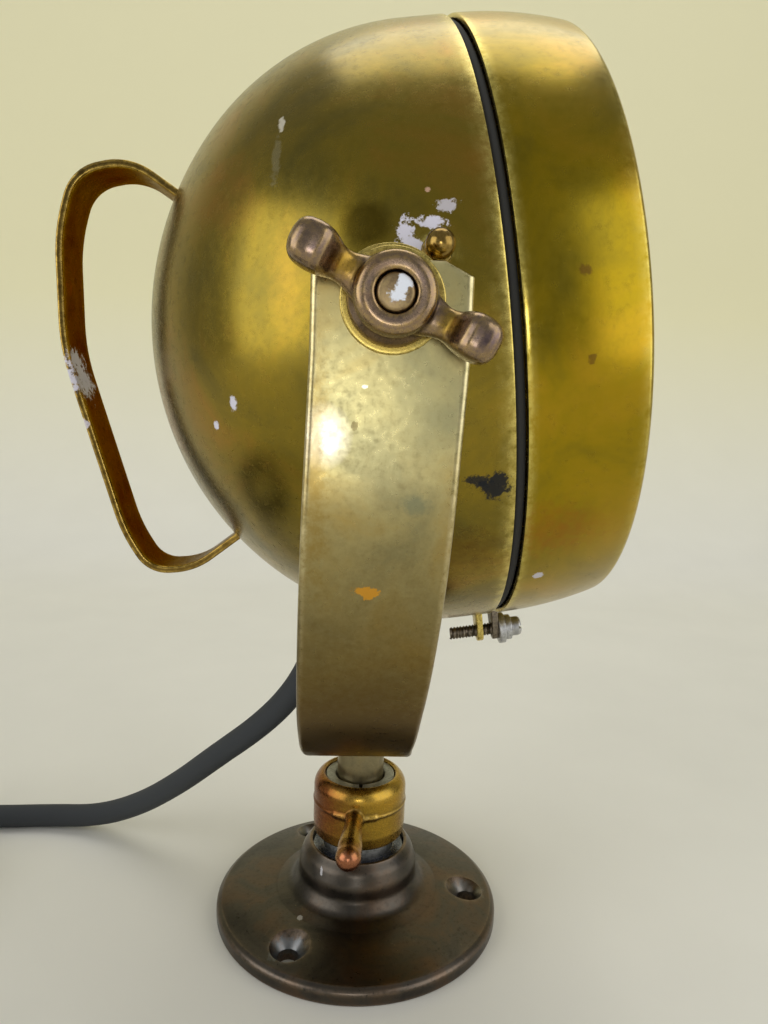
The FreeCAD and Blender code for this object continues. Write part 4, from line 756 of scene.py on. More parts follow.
@dataclass(frozen=True)
class AgedMetal(Finish):
    """Old brass or bronze: cloudy patina, specks, rubbed edges, dirt in hollows, fine tool lines, and marks
    of paint, stains and painted highlight, reflection and shade.

    The eye gets a warm metal whose gloss changes from place to place, brighter where hands rub it.
    Sizes are in millimetres; lines finer than a third of a millimetre are drawn that coarse, to show.
    """

    METALLIC: ClassVar[float] = 1.0

    body: str
    warm: str
    dull: str
    bright: str
    dirt: str
    rough: float = 0.3
    rough_spread: float = 0.1
    cloud: float = 30.0
    speck: float = 2.2
    speck_amount: float = 0.35
    grain: float = 0.5
    grain_depth: float = 0.004
    brush: Brush = Brush.NONE
    brush_gap: float = 0.5
    brush_depth: float = 0.004
    wave: float = 0.0
    wave_size: float = 26.0
    rub: float = 0.8
    hollow: float = 0.7
    edge: str = "#FFFFFF"
    marks: Tuple[Mark, ...] = ()

    def lines(self, tree: NodeTree, spots: NodeSocket) -> Node:
        """Height of the brushed or spun lines."""
        across, along = per_mm(self.brush_gap), per_mm(40.0)
        scale, turn = {
            Brush.ALONG_THE_BAR: ((across, across, along), 0.0),
            Brush.ROUND_THE_POST: ((along, along, across), 0.0),
            Brush.ROUND_THE_LAMP: ((across, along, along), radians(HEAD_TILT)),
        }[self.brush]
        placing = {"Vector": spots, "Rotation": (0.0, turn, 0.0), "Scale": scale}
        drawn = add(tree, "ShaderNodeMapping", placing)
        return add(tree, NOISE, {"Vector": drawn, "Scale": 1.0, "Detail": 3.0})

    def surface(self, tree: NodeTree, spots: NodeSocket) -> dict:
        """Patina, dirt, rubbed edges and marks over the metal, some marks being painted highlight, reflection
        and shade, and how rough each is.
        """
        size = per_mm(self.cloud)
        cloud = add(
            tree, NOISE,
            {"Vector": spots, "Scale": size, "Detail": 5.0, "Roughness": 0.6, "Distortion": 0.6},
        )
        tone = add(tree, "ShaderNodeValToRGB", {"Fac": cloud})
        stops = tone.color_ramp.elements
        stops.new(0.5)
        for stop, place, shade in zip(stops, (0.34, 0.5, 0.68), (self.dull, self.body, self.warm)):
            stop.position = place
            stop.color = linear(shade)
        speck = add(
            tree, NOISE,
            {"Vector": spots, "Scale": per_mm(self.speck), "Detail": 7.0, "Roughness": 0.72},
        )
        spotty = add(
            tree, RANGE,
            {"Value": speck, "From Min": 0.52, "From Max": 0.72, "To Min": 0.0, "To Max": self.speck_amount},
        )
        colour = blended(tree, spotty, tone, linear(self.dirt))
        sunk = add(tree, "ShaderNodeAttribute", attribute_name="sunk").outputs["Fac"]
        dirty = add(tree, MATH, {0: sunk, 1: self.hollow}, operation="MULTIPLY", use_clamp=True)
        colour = blended(tree, dirty, colour, linear(self.dirt))
        proud = add(tree, "ShaderNodeAttribute", attribute_name="proud").outputs["Fac"]
        patchy = add(tree, RANGE, {"Value": speck, "From Min": 0.3, "From Max": 0.6})
        rubbed = add(tree, MATH, {0: proud, 1: patchy}, operation="MULTIPLY")
        rubbed = add(tree, MATH, {0: rubbed, 1: self.rub}, operation="MULTIPLY", use_clamp=True)
        colour = blended(tree, rubbed, colour, linear(self.bright))
        low, high = self.rough - self.rough_spread, self.rough + self.rough_spread
        rough = add(
            tree, RANGE,
            {"Value": speck, "From Min": 0.3, "From Max": 0.7, "To Min": low, "To Max": high},
        )
        rough = add(tree, MATH, {0: dirty, 1: 0.2, 2: rough}, operation="MULTIPLY_ADD")
        metal = 1.0
        if self.marks:
            torn = add(
                tree, NOISE,
                {"Vector": spots, "Scale": per_mm(2.0), "Detail": 6.0, "Roughness": 0.78},
            )
            painted = None
            for mark in self.marks:
                mask = mark.mask(tree, spots, torn)
                colour = blended(tree, mask, colour, linear(mark.colour))
                if mark.paint:
                    rough = add(tree, "ShaderNodeMix", {0: mask, 2: rough, 3: 0.6})
                    painted = mask if painted is None else add(
                        tree, MATH, {0: painted, 1: mask}, operation="MAXIMUM"
                    )
            if painted is not None:
                bare = {0: 1.0, 1: painted}
                metal = add(tree, MATH, bare, operation="SUBTRACT", use_clamp=True)
        return {
            "Base Color": colour, "Roughness": rough, "Metallic": metal, "Specular Tint": linear(self.edge),
            "Normal": self.relief(tree, spots),
        }

    def relief(self, tree: NodeTree, spots: NodeSocket) -> Node:
        """The surface's normal, from waves, grain and tool lines."""
        grain = {"Vector": spots, "Scale": per_mm(self.grain), "Detail": 4.0}
        heights = [(self.grain_depth, add(tree, NOISE, grain))]
        if self.wave > 0:
            wave = {"Vector": spots, "Scale": per_mm(self.wave_size), "Detail": 1.0}
            heights.insert(0, (self.wave, add(tree, NOISE, wave)))
        if self.brush is not Brush.NONE:
            heights.append((self.brush_depth, self.lines(tree, spots)))
        below = {}
        for depth, height in heights:
            values = {"Height": height, "Distance": depth * MM, **below}
            below = {"Normal": add(tree, "ShaderNodeBump", values)}
        return below["Normal"]


@dataclass(frozen=True)
class Matter(Finish):
    """Rubber, moulded resin or another dull solid: mottled colour and a fine grain."""
    body: str
    other: str
    rough: float
    cloud: float = 9.0
    grain: float = 0.6
    grain_depth: float = 0.02
    spread: float = 0.08
    gloss: float = 0.5
    worn: str = ""

    def surface(self, tree: NodeTree, spots: NodeSocket) -> dict:
        """Mottled colour, uneven gloss and grain."""
        cloud = add(
            tree, NOISE,
            {"Vector": spots, "Scale": per_mm(self.cloud), "Detail": 6.0, "Roughness": 0.65},
        )
        share = add(tree, RANGE, {"Value": cloud, "From Min": 0.38, "From Max": 0.64})
        colour = blended(tree, share, linear(self.body), linear(self.other))
        if self.worn:
            proud = add(tree, "ShaderNodeAttribute", attribute_name="proud").outputs["Fac"]
            colour = blended(tree, proud, colour, linear(self.worn))
        low, high = self.rough - self.spread, self.rough + self.spread
        rough = add(
            tree, RANGE,
            {"Value": cloud, "From Min": 0.3, "From Max": 0.7, "To Min": low, "To Max": high},
        )
        grain = add(tree, NOISE, {"Vector": spots, "Scale": per_mm(self.grain), "Detail": 3.0})
        raised = add(tree, "ShaderNodeBump", {"Height": grain, "Distance": self.grain_depth * MM})
        return {"Base Color": colour, "Roughness": rough, "Specular IOR Level": self.gloss, "Normal": raised}


@dataclass(frozen=True)
class Glass(Finish):
    """Pressed clear glass with faint ripples and a little dust."""

    tint: str
    rough: float = 0.02
    ripple: float = 0.01

    def surface(self, tree: NodeTree, spots: NodeSocket) -> dict:
        """Clear, with dust that blurs it here and there."""
        dust = add(tree, NOISE, {"Vector": spots, "Scale": per_mm(7.0), "Detail": 5.0})
        low, high = self.rough, self.rough + 0.1
        rough = add(
            tree, RANGE,
            {"Value": dust, "From Min": 0.45, "From Max": 0.8, "To Min": low, "To Max": high},
        )
        ripples = add(tree, NOISE, {"Vector": spots, "Scale": per_mm(16.0), "Detail": 1.0})
        raised = add(tree, "ShaderNodeBump", {"Height": ripples, "Distance": self.ripple * MM})
        return {
            "Base Color": linear(self.tint), "Transmission Weight": 1.0, "IOR": 1.5, "Roughness": rough,
            "Normal": raised,
        }


@dataclass(frozen=True)
class Paper(Finish):
    """Matt backdrop paper, faintly mottled, warmer on the wall than on the floor."""

    floor: str
    mottle: str
    wall: str

    def surface(self, tree: NodeTree, spots: NodeSocket) -> dict:
        """Colour by height above the floor."""
        grain = add(tree, NOISE, {"Vector": spots, "Scale": per_mm(60.0), "Detail": 3.0})
        tone = blended(tree, grain, linear(self.floor), linear(self.mottle))
        height = add(tree, "ShaderNodeSeparateXYZ", {0: spots}).outputs["Z"]
        upper = add(tree, RANGE, {"Value": height, "From Min": 0.02, "From Max": 0.3})
        return {"Base Color": blended(tree, upper, tone, linear(self.wall)), "Roughness": 0.9}


WHITE_PAINT = "#D9D6E4"
STAIN = "#2C2E33"

# Spun brass, aged: olive-gold with orange and brown clouds, glossy where it isn't tarnished; its marks add
# paint, stains and painted reflection, highlight and shade
BOWL_BRASS = AgedMetal(
    "spun_brass_bowl", "#8E792A", "#A07A2E", "#74672C", "#F0DC80", "#45351A", rough=0.25, rough_spread=0.06,
    cloud=29.0, speck_amount=0.2, brush=Brush.ROUND_THE_LAMP, brush_gap=0.5, brush_depth=0.0018, wave=0.3,
    marks=(
        Mark((2.6, -80.3, 194.0), (1.9, 6.0, 2.6), WHITE_PAINT, ragged=1.3),
        Mark((4.2, -80.3, 191.6), (2.6, 6.0, 1.6), WHITE_PAINT, ragged=1.3),
        Mark((7.6, -80.4, 196.0), (3.0, 6.0, 1.3), WHITE_PAINT, ragged=1.3),
        Mark((10.6, -80.2, 199.4), (2.0, 6.0, 1.3), WHITE_PAINT, strength=0.7, ragged=1.5),
        Mark((6.8, -79.0, 202.4), (0.7, 5.0, 0.6), "#C9A08C", strength=0.8),
        Mark((-32.5, -61.9, 160.6), (1.1, 5.0, 1.7), WHITE_PAINT),
        Mark((-37.1, -55.2, 155.4), (0.8, 5.0, 1.1), WHITE_PAINT),
        Mark((-22.9, -61.9, 218.9), (0.8, 5.0, 2.0), "#C9C3B4", strength=0.8),
        stain_and_painted_light((-23.6, -65.8, 210.4), (1.0, 5.0, 6.0), "#B9B08E", 0.35),
        stain_and_painted_light((24.4, -73.2, 145.4), (3.4, 6.0, 3.2), STAIN, 0.95),
        stain_and_painted_light((20.2, -73.8, 146.2), (3.2, 6.0, 1.2), STAIN, 0.9),
        # Painted reflection: the wing nut's dark reflection in the bowl, above the hub
        stain_and_painted_light((-5.0, -78.1, 195.6), (6.0, 8.0, 5.6), "#4E4010", 0.75, 0.12, 0.45),
        # Painted highlight: a broad bright yellow sheen on the bowl, left of the yoke
        stain_and_painted_light((-20.0, -70.0, 186.0), (5.0, 30.0, 16.0), "#D9A83C", 0.25, 0.5, 0.9),
        # Painted shade: the yoke's dark shadow and reflection on the bowl, low beside the near arm
        stain_and_painted_light((20.0, -72.0, 128.0), (14.0, 20.0, 9.0), "#5E3E14", 0.7, 0.5, 0.8),
    ),
)
RIM_BRASS = AgedMetal(
    "spun_brass_rim", "#9C8318", "#B08C20", "#84721C", "#F6E27E", "#4A3814", rough=0.24, rough_spread=0.05,
    cloud=27.0, speck_amount=0.18, brush=Brush.ROUND_THE_LAMP, brush_gap=0.5, brush_depth=0.0016, wave=0.25,
    marks=(
        stain_and_painted_light((37.7, -81.1, 188.4), (1.5, 5.0, 1.2), "#6A4A22", 0.7, 1.2),
        stain_and_painted_light((40.8, -80.0, 171.8), (1.0, 5.0, 1.0), "#6A4A22", 0.7, 1.2),
        Mark((39.6, -53.7, 122.3), (1.4, 4.0, 1.0), WHITE_PAINT, strength=0.8),
        stain_and_painted_light((41.0, -72.0, 134.0), (16.0, 20.0, 9.0), "#A0601E", 0.6, 0.7, 0.9),
    ),
)
# Rolled brass bar, brushed and faded: a pale greenish yellow, with painted shade that darkens and browns it
# towards the foot and a painted highlight on the near arm
YOKE_BRASS = AgedMetal(
    "brushed_brass_bar", "#AFA472", "#B09A5C", "#969068", "#F0E2B0", "#5B4A28", rough=0.31, rough_spread=0.06,
    cloud=21.0, speck=1.6, speck_amount=0.25, brush=Brush.ALONG_THE_BAR, brush_gap=0.45, brush_depth=0.003,
    wave=0.1,
    marks=(
        # Painted shade: the bar darkens and browns towards the foot, where it turns away from the light
        stain_and_painted_light((0.0, -80.0, 68.0), (190.0, 190.0, 92.0), "#6A5220", 0.95, 0.12, 0.7),
        # Painted highlight: a near-white hot spot on the near arm
        stain_and_painted_light((-12.0, -94.0, 155.0), (6.0, 4.0, 6.5), "#FFF6DC", 0.9, 0.1, 0.95),
        stain_and_painted_light((-2.5, -91.0, 125.8), (2.6, 4.0, 1.2), "#D89A34", 0.9, 1.3),
        stain_and_painted_light((-13.0, -93.5, 150.0), (3.0, 6.0, 30.0), "#8E7434", 0.6, 0.8, 0.8),
        stain_and_painted_light((-4.4, -94.0, 164.0), (0.6, 3.0, 0.5), "#FFF8DC", 0.7, 1.4),
        stain_and_painted_light((-6.0, -94.0, 157.0), (0.6, 3.0, 0.9), "#5E5030", 0.6, 1.4),
        stain_and_painted_light((5.6, -94.0, 143.0), (3.4, 4.0, 2.4), "#76785E", 0.7, 0.5, 0.6),
    ),
)
# Bent brass strip, handled: brown inside, bright along its edges
HANDLE_BRASS = AgedMetal(
    "handled_brass_strip", "#5C4620", "#6A5124", "#46361A", "#E0BC62", "#261B0C", rough=0.25, cloud=18.0,
    rub=0.7, edge="#B8A070",
    marks=(
        Mark((-86.5, -3.0, 165.6), (5.0, 8.0, 6.0), WHITE_PAINT, ragged=1.1),
        Mark((-87.4, -4.0, 171.0), (3.0, 6.0, 4.0), WHITE_PAINT, ragged=1.2),
        Mark((-82.9, -8.5, 153.7), (1.8, 1.8, 1.6), WHITE_PAINT, strength=0.8),
        stain_and_painted_light((-90.1, -4.0, 192.3), (3.0, 5.0, 3.0), "#7A4632", 0.5, soft=0.6),
    ),
)
# Cast brass hardware, brown-pink with yellow where it is rubbed
WING_BRASS = AgedMetal(
    "cast_brass_wing_nut", "#837060", "#8E7460", "#6C5C5E", "#DDB868", "#33271C", rough=0.27, cloud=7.0,
    speck=0.9, grain=0.4, grain_depth=0.006, rub=0.45,
    marks=(
        stain_and_painted_light((-8.4, -101.5, 183.6), (3.0, 6.0, 3.4), "#B08C30", 0.8, 0.4, 0.6),
        stain_and_painted_light((9.4, -101.5, 174.6), (3.0, 6.0, 3.4), "#A88834", 0.8, 0.4, 0.6),
    ),
)
NUT_BRASS = AgedMetal(
    "cast_brass_lock_nut", "#A0802E", "#B48C30", "#8A6428", "#F0D080", "#3C2A16", rough=0.27, cloud=12.0,
    speck=0.9, grain=0.45, grain_depth=0.006, rub=0.5,
    marks=(
        stain_and_painted_light((-17.0, -10.0, 38.0), (18.0, 24.0, 22.0), "#7C4826", 0.95, 0.2, 0.6),
        stain_and_painted_light((-3.4, -31.0, 33.0), (6.0, 9.0, 6.0), "#A0644A", 0.9, 0.2, 0.5),
        stain_and_painted_light((0.0, 0.0, 45.8), (13.6, 13.6, 1.6), "#5A3E24", 0.8, 0.3, 0.5),
    ),
)
KEY_BRASS = AgedMetal(
    "turned_brass_key", "#6E5528", "#80622E", "#54401E", "#D8B868", "#2E2010", rough=0.2, cloud=6.0, speck=1.0
)
STUD_BRASS = AgedMetal(
    "turned_brass_stud", "#7A6653", "#867058", "#665446", "#B8A070", "#2A2018", rough=0.42, cloud=5.0,
    speck=0.8,
    marks=(
        Mark((1.5, -104.4, 180.7), (1.3, 1.6, 1.3), "#E6EAF4", ragged=1.0),
        Mark((0.9, -104.4, 179.5), (1.1, 1.6, 1.3), "#E6EAF4", ragged=1.0),
        Mark((0.3, -104.4, 178.3), (1.6, 1.6, 1.2), "#E6EAF4", ragged=1.0),
    ),
)
WASHER_BRASS = AgedMetal(
    "pressed_brass_washer", "#94803E", "#A08644", "#7A6C3A", "#E8D078", "#453618", rough=0.27, cloud=8.0,
    speck=1.0,
)
POST_BRASS = AgedMetal(
    "drawn_brass_post", "#857A5C", "#8E805A", "#6C654E", "#D8CA9C", "#3E3624", rough=0.36, cloud=8.0,
    speck=0.8, speck_amount=0.6, brush=Brush.ROUND_THE_POST, brush_gap=0.35, brush_depth=0.003,
)
# Sand-cast bronze foot: dark olive-brown patina with pinkish metal where it is rubbed
FOOT_BRONZE = AgedMetal(
    "sand_cast_bronze", "#4E4942", "#5C4C3E", "#403D39", "#A8917C", "#1E1A16", rough=0.33, rough_spread=0.08,
    cloud=15.0, speck=1.3, speck_amount=0.45, grain=0.7, grain_depth=0.008, wave=0.05, rub=0.45, hollow=0.45,
    marks=(
        Mark((-11.4, -14.5, 19.4), (0.4, 2.0, 1.4), "#C8C6C8", strength=0.8),
        Mark((-17.4, -19.1, 7.6), (0.9, 1.1, 1.2), "#B9B4AC", strength=0.6),
        # Painted sheen: brighter bluish grey rims and insides at the three countersunk holes
        stain_and_painted_light((-20.1, -29.8, 5.0), (6.0, 6.0, 4.0), "#7C8286", 0.7, 0.4, 0.3),
        stain_and_painted_light((35.9, -2.5, 5.0), (6.0, 6.0, 4.0), "#7C7C78", 0.7, 0.4, 0.3),
        stain_and_painted_light((-15.8, 32.4, 5.0), (6.0, 6.0, 4.0), "#7C7C78", 0.7, 0.4, 0.3),
    ),
)
# Mild steel gone grey, pitted
NECK_STEEL = AgedMetal(
    "pitted_steel", "#71716E", "#82807A", "#555553", "#B8B8B4", "#262422", rough=0.42, cloud=5.0, speck=0.9,
    speck_amount=0.8, grain=0.5, grain_depth=0.02, brush=Brush.ROUND_THE_POST, brush_gap=0.4,
)
BLUED_STEEL = AgedMetal(
    "dark_blued_steel", "#54586A", "#686C7C", "#3C3E48", "#C8CCD8", "#1C1C20", rough=0.26, cloud=6.0,
    speck=0.9,
)
SCREW_STEEL = AgedMetal(
    "oiled_screw_steel", "#4E463C", "#5E5446", "#37312B", "#9A8E7C", "#1A1714", rough=0.45, cloud=3.0,
    speck=0.6, speck_amount=0.5,
)
ZINC = AgedMetal(
    "zinc_plated_steel", "#98989A", "#A6A6A6", "#7A7A7E", "#D8D8D8", "#444240", rough=0.45, cloud=3.0,
    speck=0.6, speck_amount=0.5, grain=0.35, grain_depth=0.02,
)
SPRING_BRONZE = AgedMetal("rolled_spring_bronze", "#A8743C", "#B88448", "#7C5430", "#E8C08C", "#3A2818")
SILVER = AgedMetal(
    "silvered_reflector", "#C9C8C0", "#D2D0C4", "#B0AEA2", "#F4F4F0", "#6C675C", rough=0.1, rough_spread=0.04,
    cloud=26.0, speck=2.0, speck_amount=0.12, wave=0.05,
)
NICKEL = AgedMetal("nickelled_brass_pins", "#B4B0A4", "#C0BCB0", "#8E8A80", "#EEEAE0", "#4C4842", rough=0.25)
# Its near-black colour is painted shade, so that the seam and the glass seal read as shaded gaps
SEAL_RUBBER_SHADE_BLACK = Matter("seal_rubber", "#050505", "#0C0B09", 0.8, gloss=0.05)
CORD_RUBBER = Matter("cord_rubber", "#141516", "#202225", 0.46, cloud=14.0, spread=0.1, gloss=0.36)
PLUG_RUBBER = Matter("plug_rubber", "#17181A", "#232528", 0.55, grain_depth=0.05)
BAKELITE = Matter("moulded_bakelite", "#1E1410", "#30201A", 0.3, worn="#4A3428")
LEAD_CLOTH = Matter("waxed_lead_cover", "#5C2A20", "#74382A", 0.6)
LENS = Glass("pressed_clear_glass", "#F4F8F4")
LAMP_GLASS = Glass("blown_lamp_glass", "#FAFAFA", ripple=0.003)


def dress(
    piece: Object, finish, body: str, nodes: Sequence[str] = ()
) -> Object:
    """Give a piece its finish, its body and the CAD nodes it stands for.

    Args:
        piece: finished piece at the origin.
        finish: object whose material method gives the material.
        body: body that it moves with.
        nodes: CAD nodes that it replaces.

    Returns:
        The piece.
    """
    piece.data.materials.clear()
    piece.data.materials.append(finish.material())
    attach(piece, body)
    if nodes:
        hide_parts(*nodes)
    LOG.info("%s rides on %s with %d faces", piece.name, body, len(piece.data.polygons))
    return piece


def dress_copies(body: str, copies: Sequence[Tuple[str, Finish, str, float]]) -> None:
    """Replace CAD nodes by copies with broken edges and their finishes.

    Args:
        body: body that they all move with.
        copies: CAD node, finish, material slot of the record and width of the broken edges.
    """
    for node, finish, slot, bevel in copies:
        dress(merged_copy(node, f"{node}_finished", bevel), finish, body, [node])


# Foot, neck and lock nut


@dataclass
class Foot:
    """Cast foot with its hub, the split neck, the thrust washer and the levered lock nut."""

    radius: float = 45.0
    edge_height: float = 3.0
    shoulder_height: float = 5.0
    dome_radius: float = 26.0
    dome_height: float = 7.6
    dome_sweep: float = 150.0
    hub_line: Tuple[Triple, ...] = ((9.0, 21.3, 4.5), (12.4, 18.8, 3.0), (16.2, 19.0, 6.0), (20.4, 17.6, 5.0))
    hub_height: float = 22.9
    hub_mouth: float = 15.6
    cup_radius: float = 14.7
    cup_floor: float = 19.5
    bore: float = 11.0
    pocket_top: float = 8.6
    pocket_radius: float = 13.3
    hollow_top: float = 3.0
    hollow_radius: float = 30.0
    hole_circle: float = 36.0
    hole_radius: float = 3.0
    hole_turn: float = -4.0
    sink_level: float = 3.4
    nut_low: float = 26.2
    nut_high: float = 45.6
    nut_radius: float = 14.7
    nut_foot: float = 14.2
    nut_full: float = 30.0
    nut_shoulder: float = 12.1
    nut_seam: Tuple[Sequence[float], ...] = ((36.4, 14.0), (36.9, 15.0, 0.2), (37.3, 15.0, 0.2), (37.8, 14.0))
    lever_angle: float = -97.0
    lever_level: float = 37.4
    lever_root: float = 12.6
    lever_drop: float = 4.0
    lever_reach: float = 29.0
    lever_tip: float = 3.8
    lever_line: Tuple[Spot, ...] = (
        (-1.2, 0.0), (-1.2, 3.7), (0.8, 3.2), (2.4, 2.8), (4.4, 2.65), (7.0, 2.9), (10.0, 3.3), (13.0, 3.65),
    )
    flare_angle: float = 13.0
    flare_seat: Triple = (14.1, 0.0, 37.2)
    flare_line: Tuple[Spot, ...] = ((-4.6, 0.0), (-3.4, 0.6), (0.0, 1.25), (3.4, 0.9), (4.8, 0.0))
    washer_top: float = 21.3
    washer_radius: float = 14.55

    def casting(self) -> Object:
        """The foot itself, with three countersunk holes."""
        shoulder = (self.shoulder_height, self.radius - 1.6)
        dome = (self.dome_height, self.dome_radius)
        edge = [
            (0.0, self.hollow_radius), (0.0, self.radius, 0.7), (self.edge_height + 0.8, self.radius, 1.8),
            shoulder,
        ]
        hub = [
            dome, *self.hub_line, (self.hub_height, self.hub_mouth, 0.5),
            (self.hub_height, self.cup_radius, 0.3), (self.cup_floor, self.cup_radius, 0.3),
            (self.cup_floor, self.bore),
        ]
        line = rounded(edge, closed=False) + bow(shoulder, dome, self.dome_sweep, 8)
        line += rounded(hub, closed=False, turn_step=5.0)
        line += [(self.pocket_top, self.bore), (self.pocket_top, self.pocket_radius)]
        line += [(self.hollow_top, self.pocket_radius), (self.hollow_top, self.hollow_radius)]
        piece = lathe("cast_foot", fine(line, 1.8), UPRIGHT, 192)
        wide, deep = self.hole_radius + 6.0, self.sink_level + 6.0
        sink = [
            (-1.0, 0.0), (-1.0, self.hole_radius), (self.sink_level, self.hole_radius), (deep, wide),
            (deep, 0.0),
        ]
        cutters = []
        for number in range(3):
            angle = radians(self.hole_turn + 120.0 * number)
            place = shifted(self.hole_circle * cos(angle), self.hole_circle * sin(angle), 0.0)
            cutters.append(lathe("sink", sink, place @ UPRIGHT, 72, closed=False))
        return smooth(broken(drilled(piece, cutters), 0.25, 30.0))

    def lock_nut(self) -> Object:
        """Barrel nut with a rounded shoulder and a lever that flares into it."""
        bore = self.bore + 0.1
        side_end, top_start = (self.nut_high - 4.6, self.nut_radius), (self.nut_high, self.nut_shoulder)
        side = [
            (self.nut_low, bore), (self.nut_low, self.nut_foot, 0.8), (self.nut_full, self.nut_radius, 3.0),
            side_end,
        ]
        line = rounded(side, closed=False, turn_step=6.0)
        line += bow(side_end, top_start, 4.9, 14) + [top_start, (self.nut_high, bore + 0.5)]
        line += [(self.nut_high - 0.4, bore + 0.1), (self.nut_high - 1.2, bore)]
        lumps = [lathe("barrel", line, UPRIGHT, 144), lathe("seam", rounded(self.nut_seam), UPRIGHT, 144)]
        start = Vector((self.lever_root, 0.0, self.lever_level))
        end = Vector((self.lever_reach, 0.0, self.lever_level - self.lever_drop))
        turn = spun(self.lever_angle, "Z")
        place = turn @ Matrix.Translation(start * MM) @ aimed((end - start).normalized())
        tip = arc(((end - start).length, 0.0), self.lever_tip, radians(110.0), 0.0, 8)
        lumps.append(lathe("lever", [*self.lever_line, *tip], place, 48, closed=False))
        for hand in (-1.0, 1.0):
            seat = turn @ spun(hand * self.flare_angle, "Z") @ shifted(*self.flare_seat)
            lumps.append(lathe("flare", self.flare_line, seat @ spun(hand * 90.0, "Z"), 24, closed=False))
        return smooth(cast("levered_lock_nut", lumps, 0.3, 5), 60.0)

    def build(self) -> None:
        """Make and dress every piece of the foot."""
        dress(self.casting(), FOOT_BRONZE, "base", ["base_flange"])
        dress(self.lock_nut(), NUT_BRASS, "lock_nut", ["lock_nut"])
        dress_copies("base", [("clamping_neck", NECK_STEEL, "neck_steel", 0.3)])
        washer = ring(
            "blued_thrust_washer", self.cup_floor, self.washer_top, self.bore, self.washer_radius, UPRIGHT,
            0.3, 128,
        )
        dress(washer, BLUED_STEEL, "base", ["thrust_washer"])


# Post and yoke


@dataclass
class Mast:
    """Post, yoke and what holds them together."""

    post_radius: float = 7.4
    post_low: float = 2.6
    groove_low: float = 4.4
    groove_high: float = 5.65
    groove_radius: float = 6.2
    tenon_radius: float = 5.0
    tenon_top: float = 76.4
    washer_low: float = 68.0
    washer_high: float = 69.2
    washer_radius: float = 10.0
    yoke_width: float = 29.0
    yoke_thickness: float = 4.0
    yoke_reach: float = 94.0
    yoke_flat: float = 10.0
    yoke_low: float = 64.0
    yoke_high: float = 186.2
    corner_width: float = 5.0
    corner_height: float = 2.4
    stud_bore: float = 3.4
    lean: float = 2.9
    lean_top: float = 170.0
    lean_low: float = 94.0
    lean_inner: float = 12.0
    lean_run: float = 43.0
    narrowing: float = 1.7

    def yoke(self) -> Object:
        """U-shaped bar with cut corners at its ends, leaning a little where it has been bent in use."""
        half = self.yoke_thickness / 2
        reach = self.yoke_reach - half
        floor = self.yoke_low + half
        bend = reach - self.yoke_flat
        side = arc((self.yoke_flat, floor + bend), bend, -pi / 2, 0.0, 36)[1:]
        level, top = floor + bend, self.yoke_high
        low_corner = top - self.corner_height
        heights = [level + (low_corner - level) * step / 10 for step in range(1, 11)]
        side += [(reach, height) for height in [*heights, top - 1.2, top - 0.5, top]]
        base = [(-self.yoke_flat, floor), (0.0, floor), (self.yoke_flat, floor)]
        line = [(-y, z) for y, z in reversed(side)] + base + side
        width, sway = [], []
        for y, z in line:
            over = max(z - low_corner, 0.0) / self.corner_height
            fall = min(max((self.lean_top - z) / (self.lean_top - self.lean_low), 0.0), 1.0)
            fall *= min(max((abs(y) - self.lean_inner) / self.lean_run, 0.0), 1.0)
            width.append(self.yoke_width - 2 * self.corner_width * over - self.narrowing * fall)
            sway.append(self.lean * fall)
        piece = bar("brass_yoke", line, spun(90.0, "Z"), width, self.yoke_thickness, 1.2, sway)
        pivot, past = PIVOT_HEIGHT * MM, 0.12
        cutters = [
            tunnel(self.stud_bore, Vector((0.0, -past, pivot)), Vector((0.0, past, pivot))),
            tunnel(self.tenon_radius + 0.1, Vector((0.0, 0.0, 0.05)), Vector((0.0, 0.0, 0.08))),
        ]
        return smooth(drilled(piece, cutters))

    def post(self) -> Object:
        """Turned post with its groove and tenon."""
        radius, tenon, groove = self.post_radius, self.tenon_radius, self.groove_radius
        corners = [
            (self.post_low, 0.0), (self.post_low, radius, 0.5), (self.groove_low, radius),
            (self.groove_low, groove), (self.groove_high, groove), (self.groove_high, radius),
            (self.yoke_low, radius, 0.3), (self.yoke_low, tenon), (self.tenon_top, tenon, 0.6),
            (self.tenon_top, 0.0),
        ]
        line = fine(rounded(corners, closed=False), 1.6, closed=False)
        return smooth(lathe("turned_post", line, UPRIGHT, 96, closed=False))

    def build(self) -> None:
        """Make and dress every piece of the post and yoke."""
        dress(self.yoke(), YOKE_BRASS, "yoke", ["yoke"])
        dress(self.post(), POST_BRASS, "yoke", ["post"])
        washer = ring(
            "post_washer_turned", self.washer_low, self.washer_high, self.tenon_radius + 0.1,
            self.washer_radius, UPRIGHT,
        )
        dress(washer, WASHER_BRASS, "yoke", ["post_washer"])
        dress_copies("yoke", [
            ("post_circlip", SCREW_STEEL, "screw_steel", 0.15), ("post_nut", POST_BRASS, "post_brass", 0.5),
        ])


# Pivots


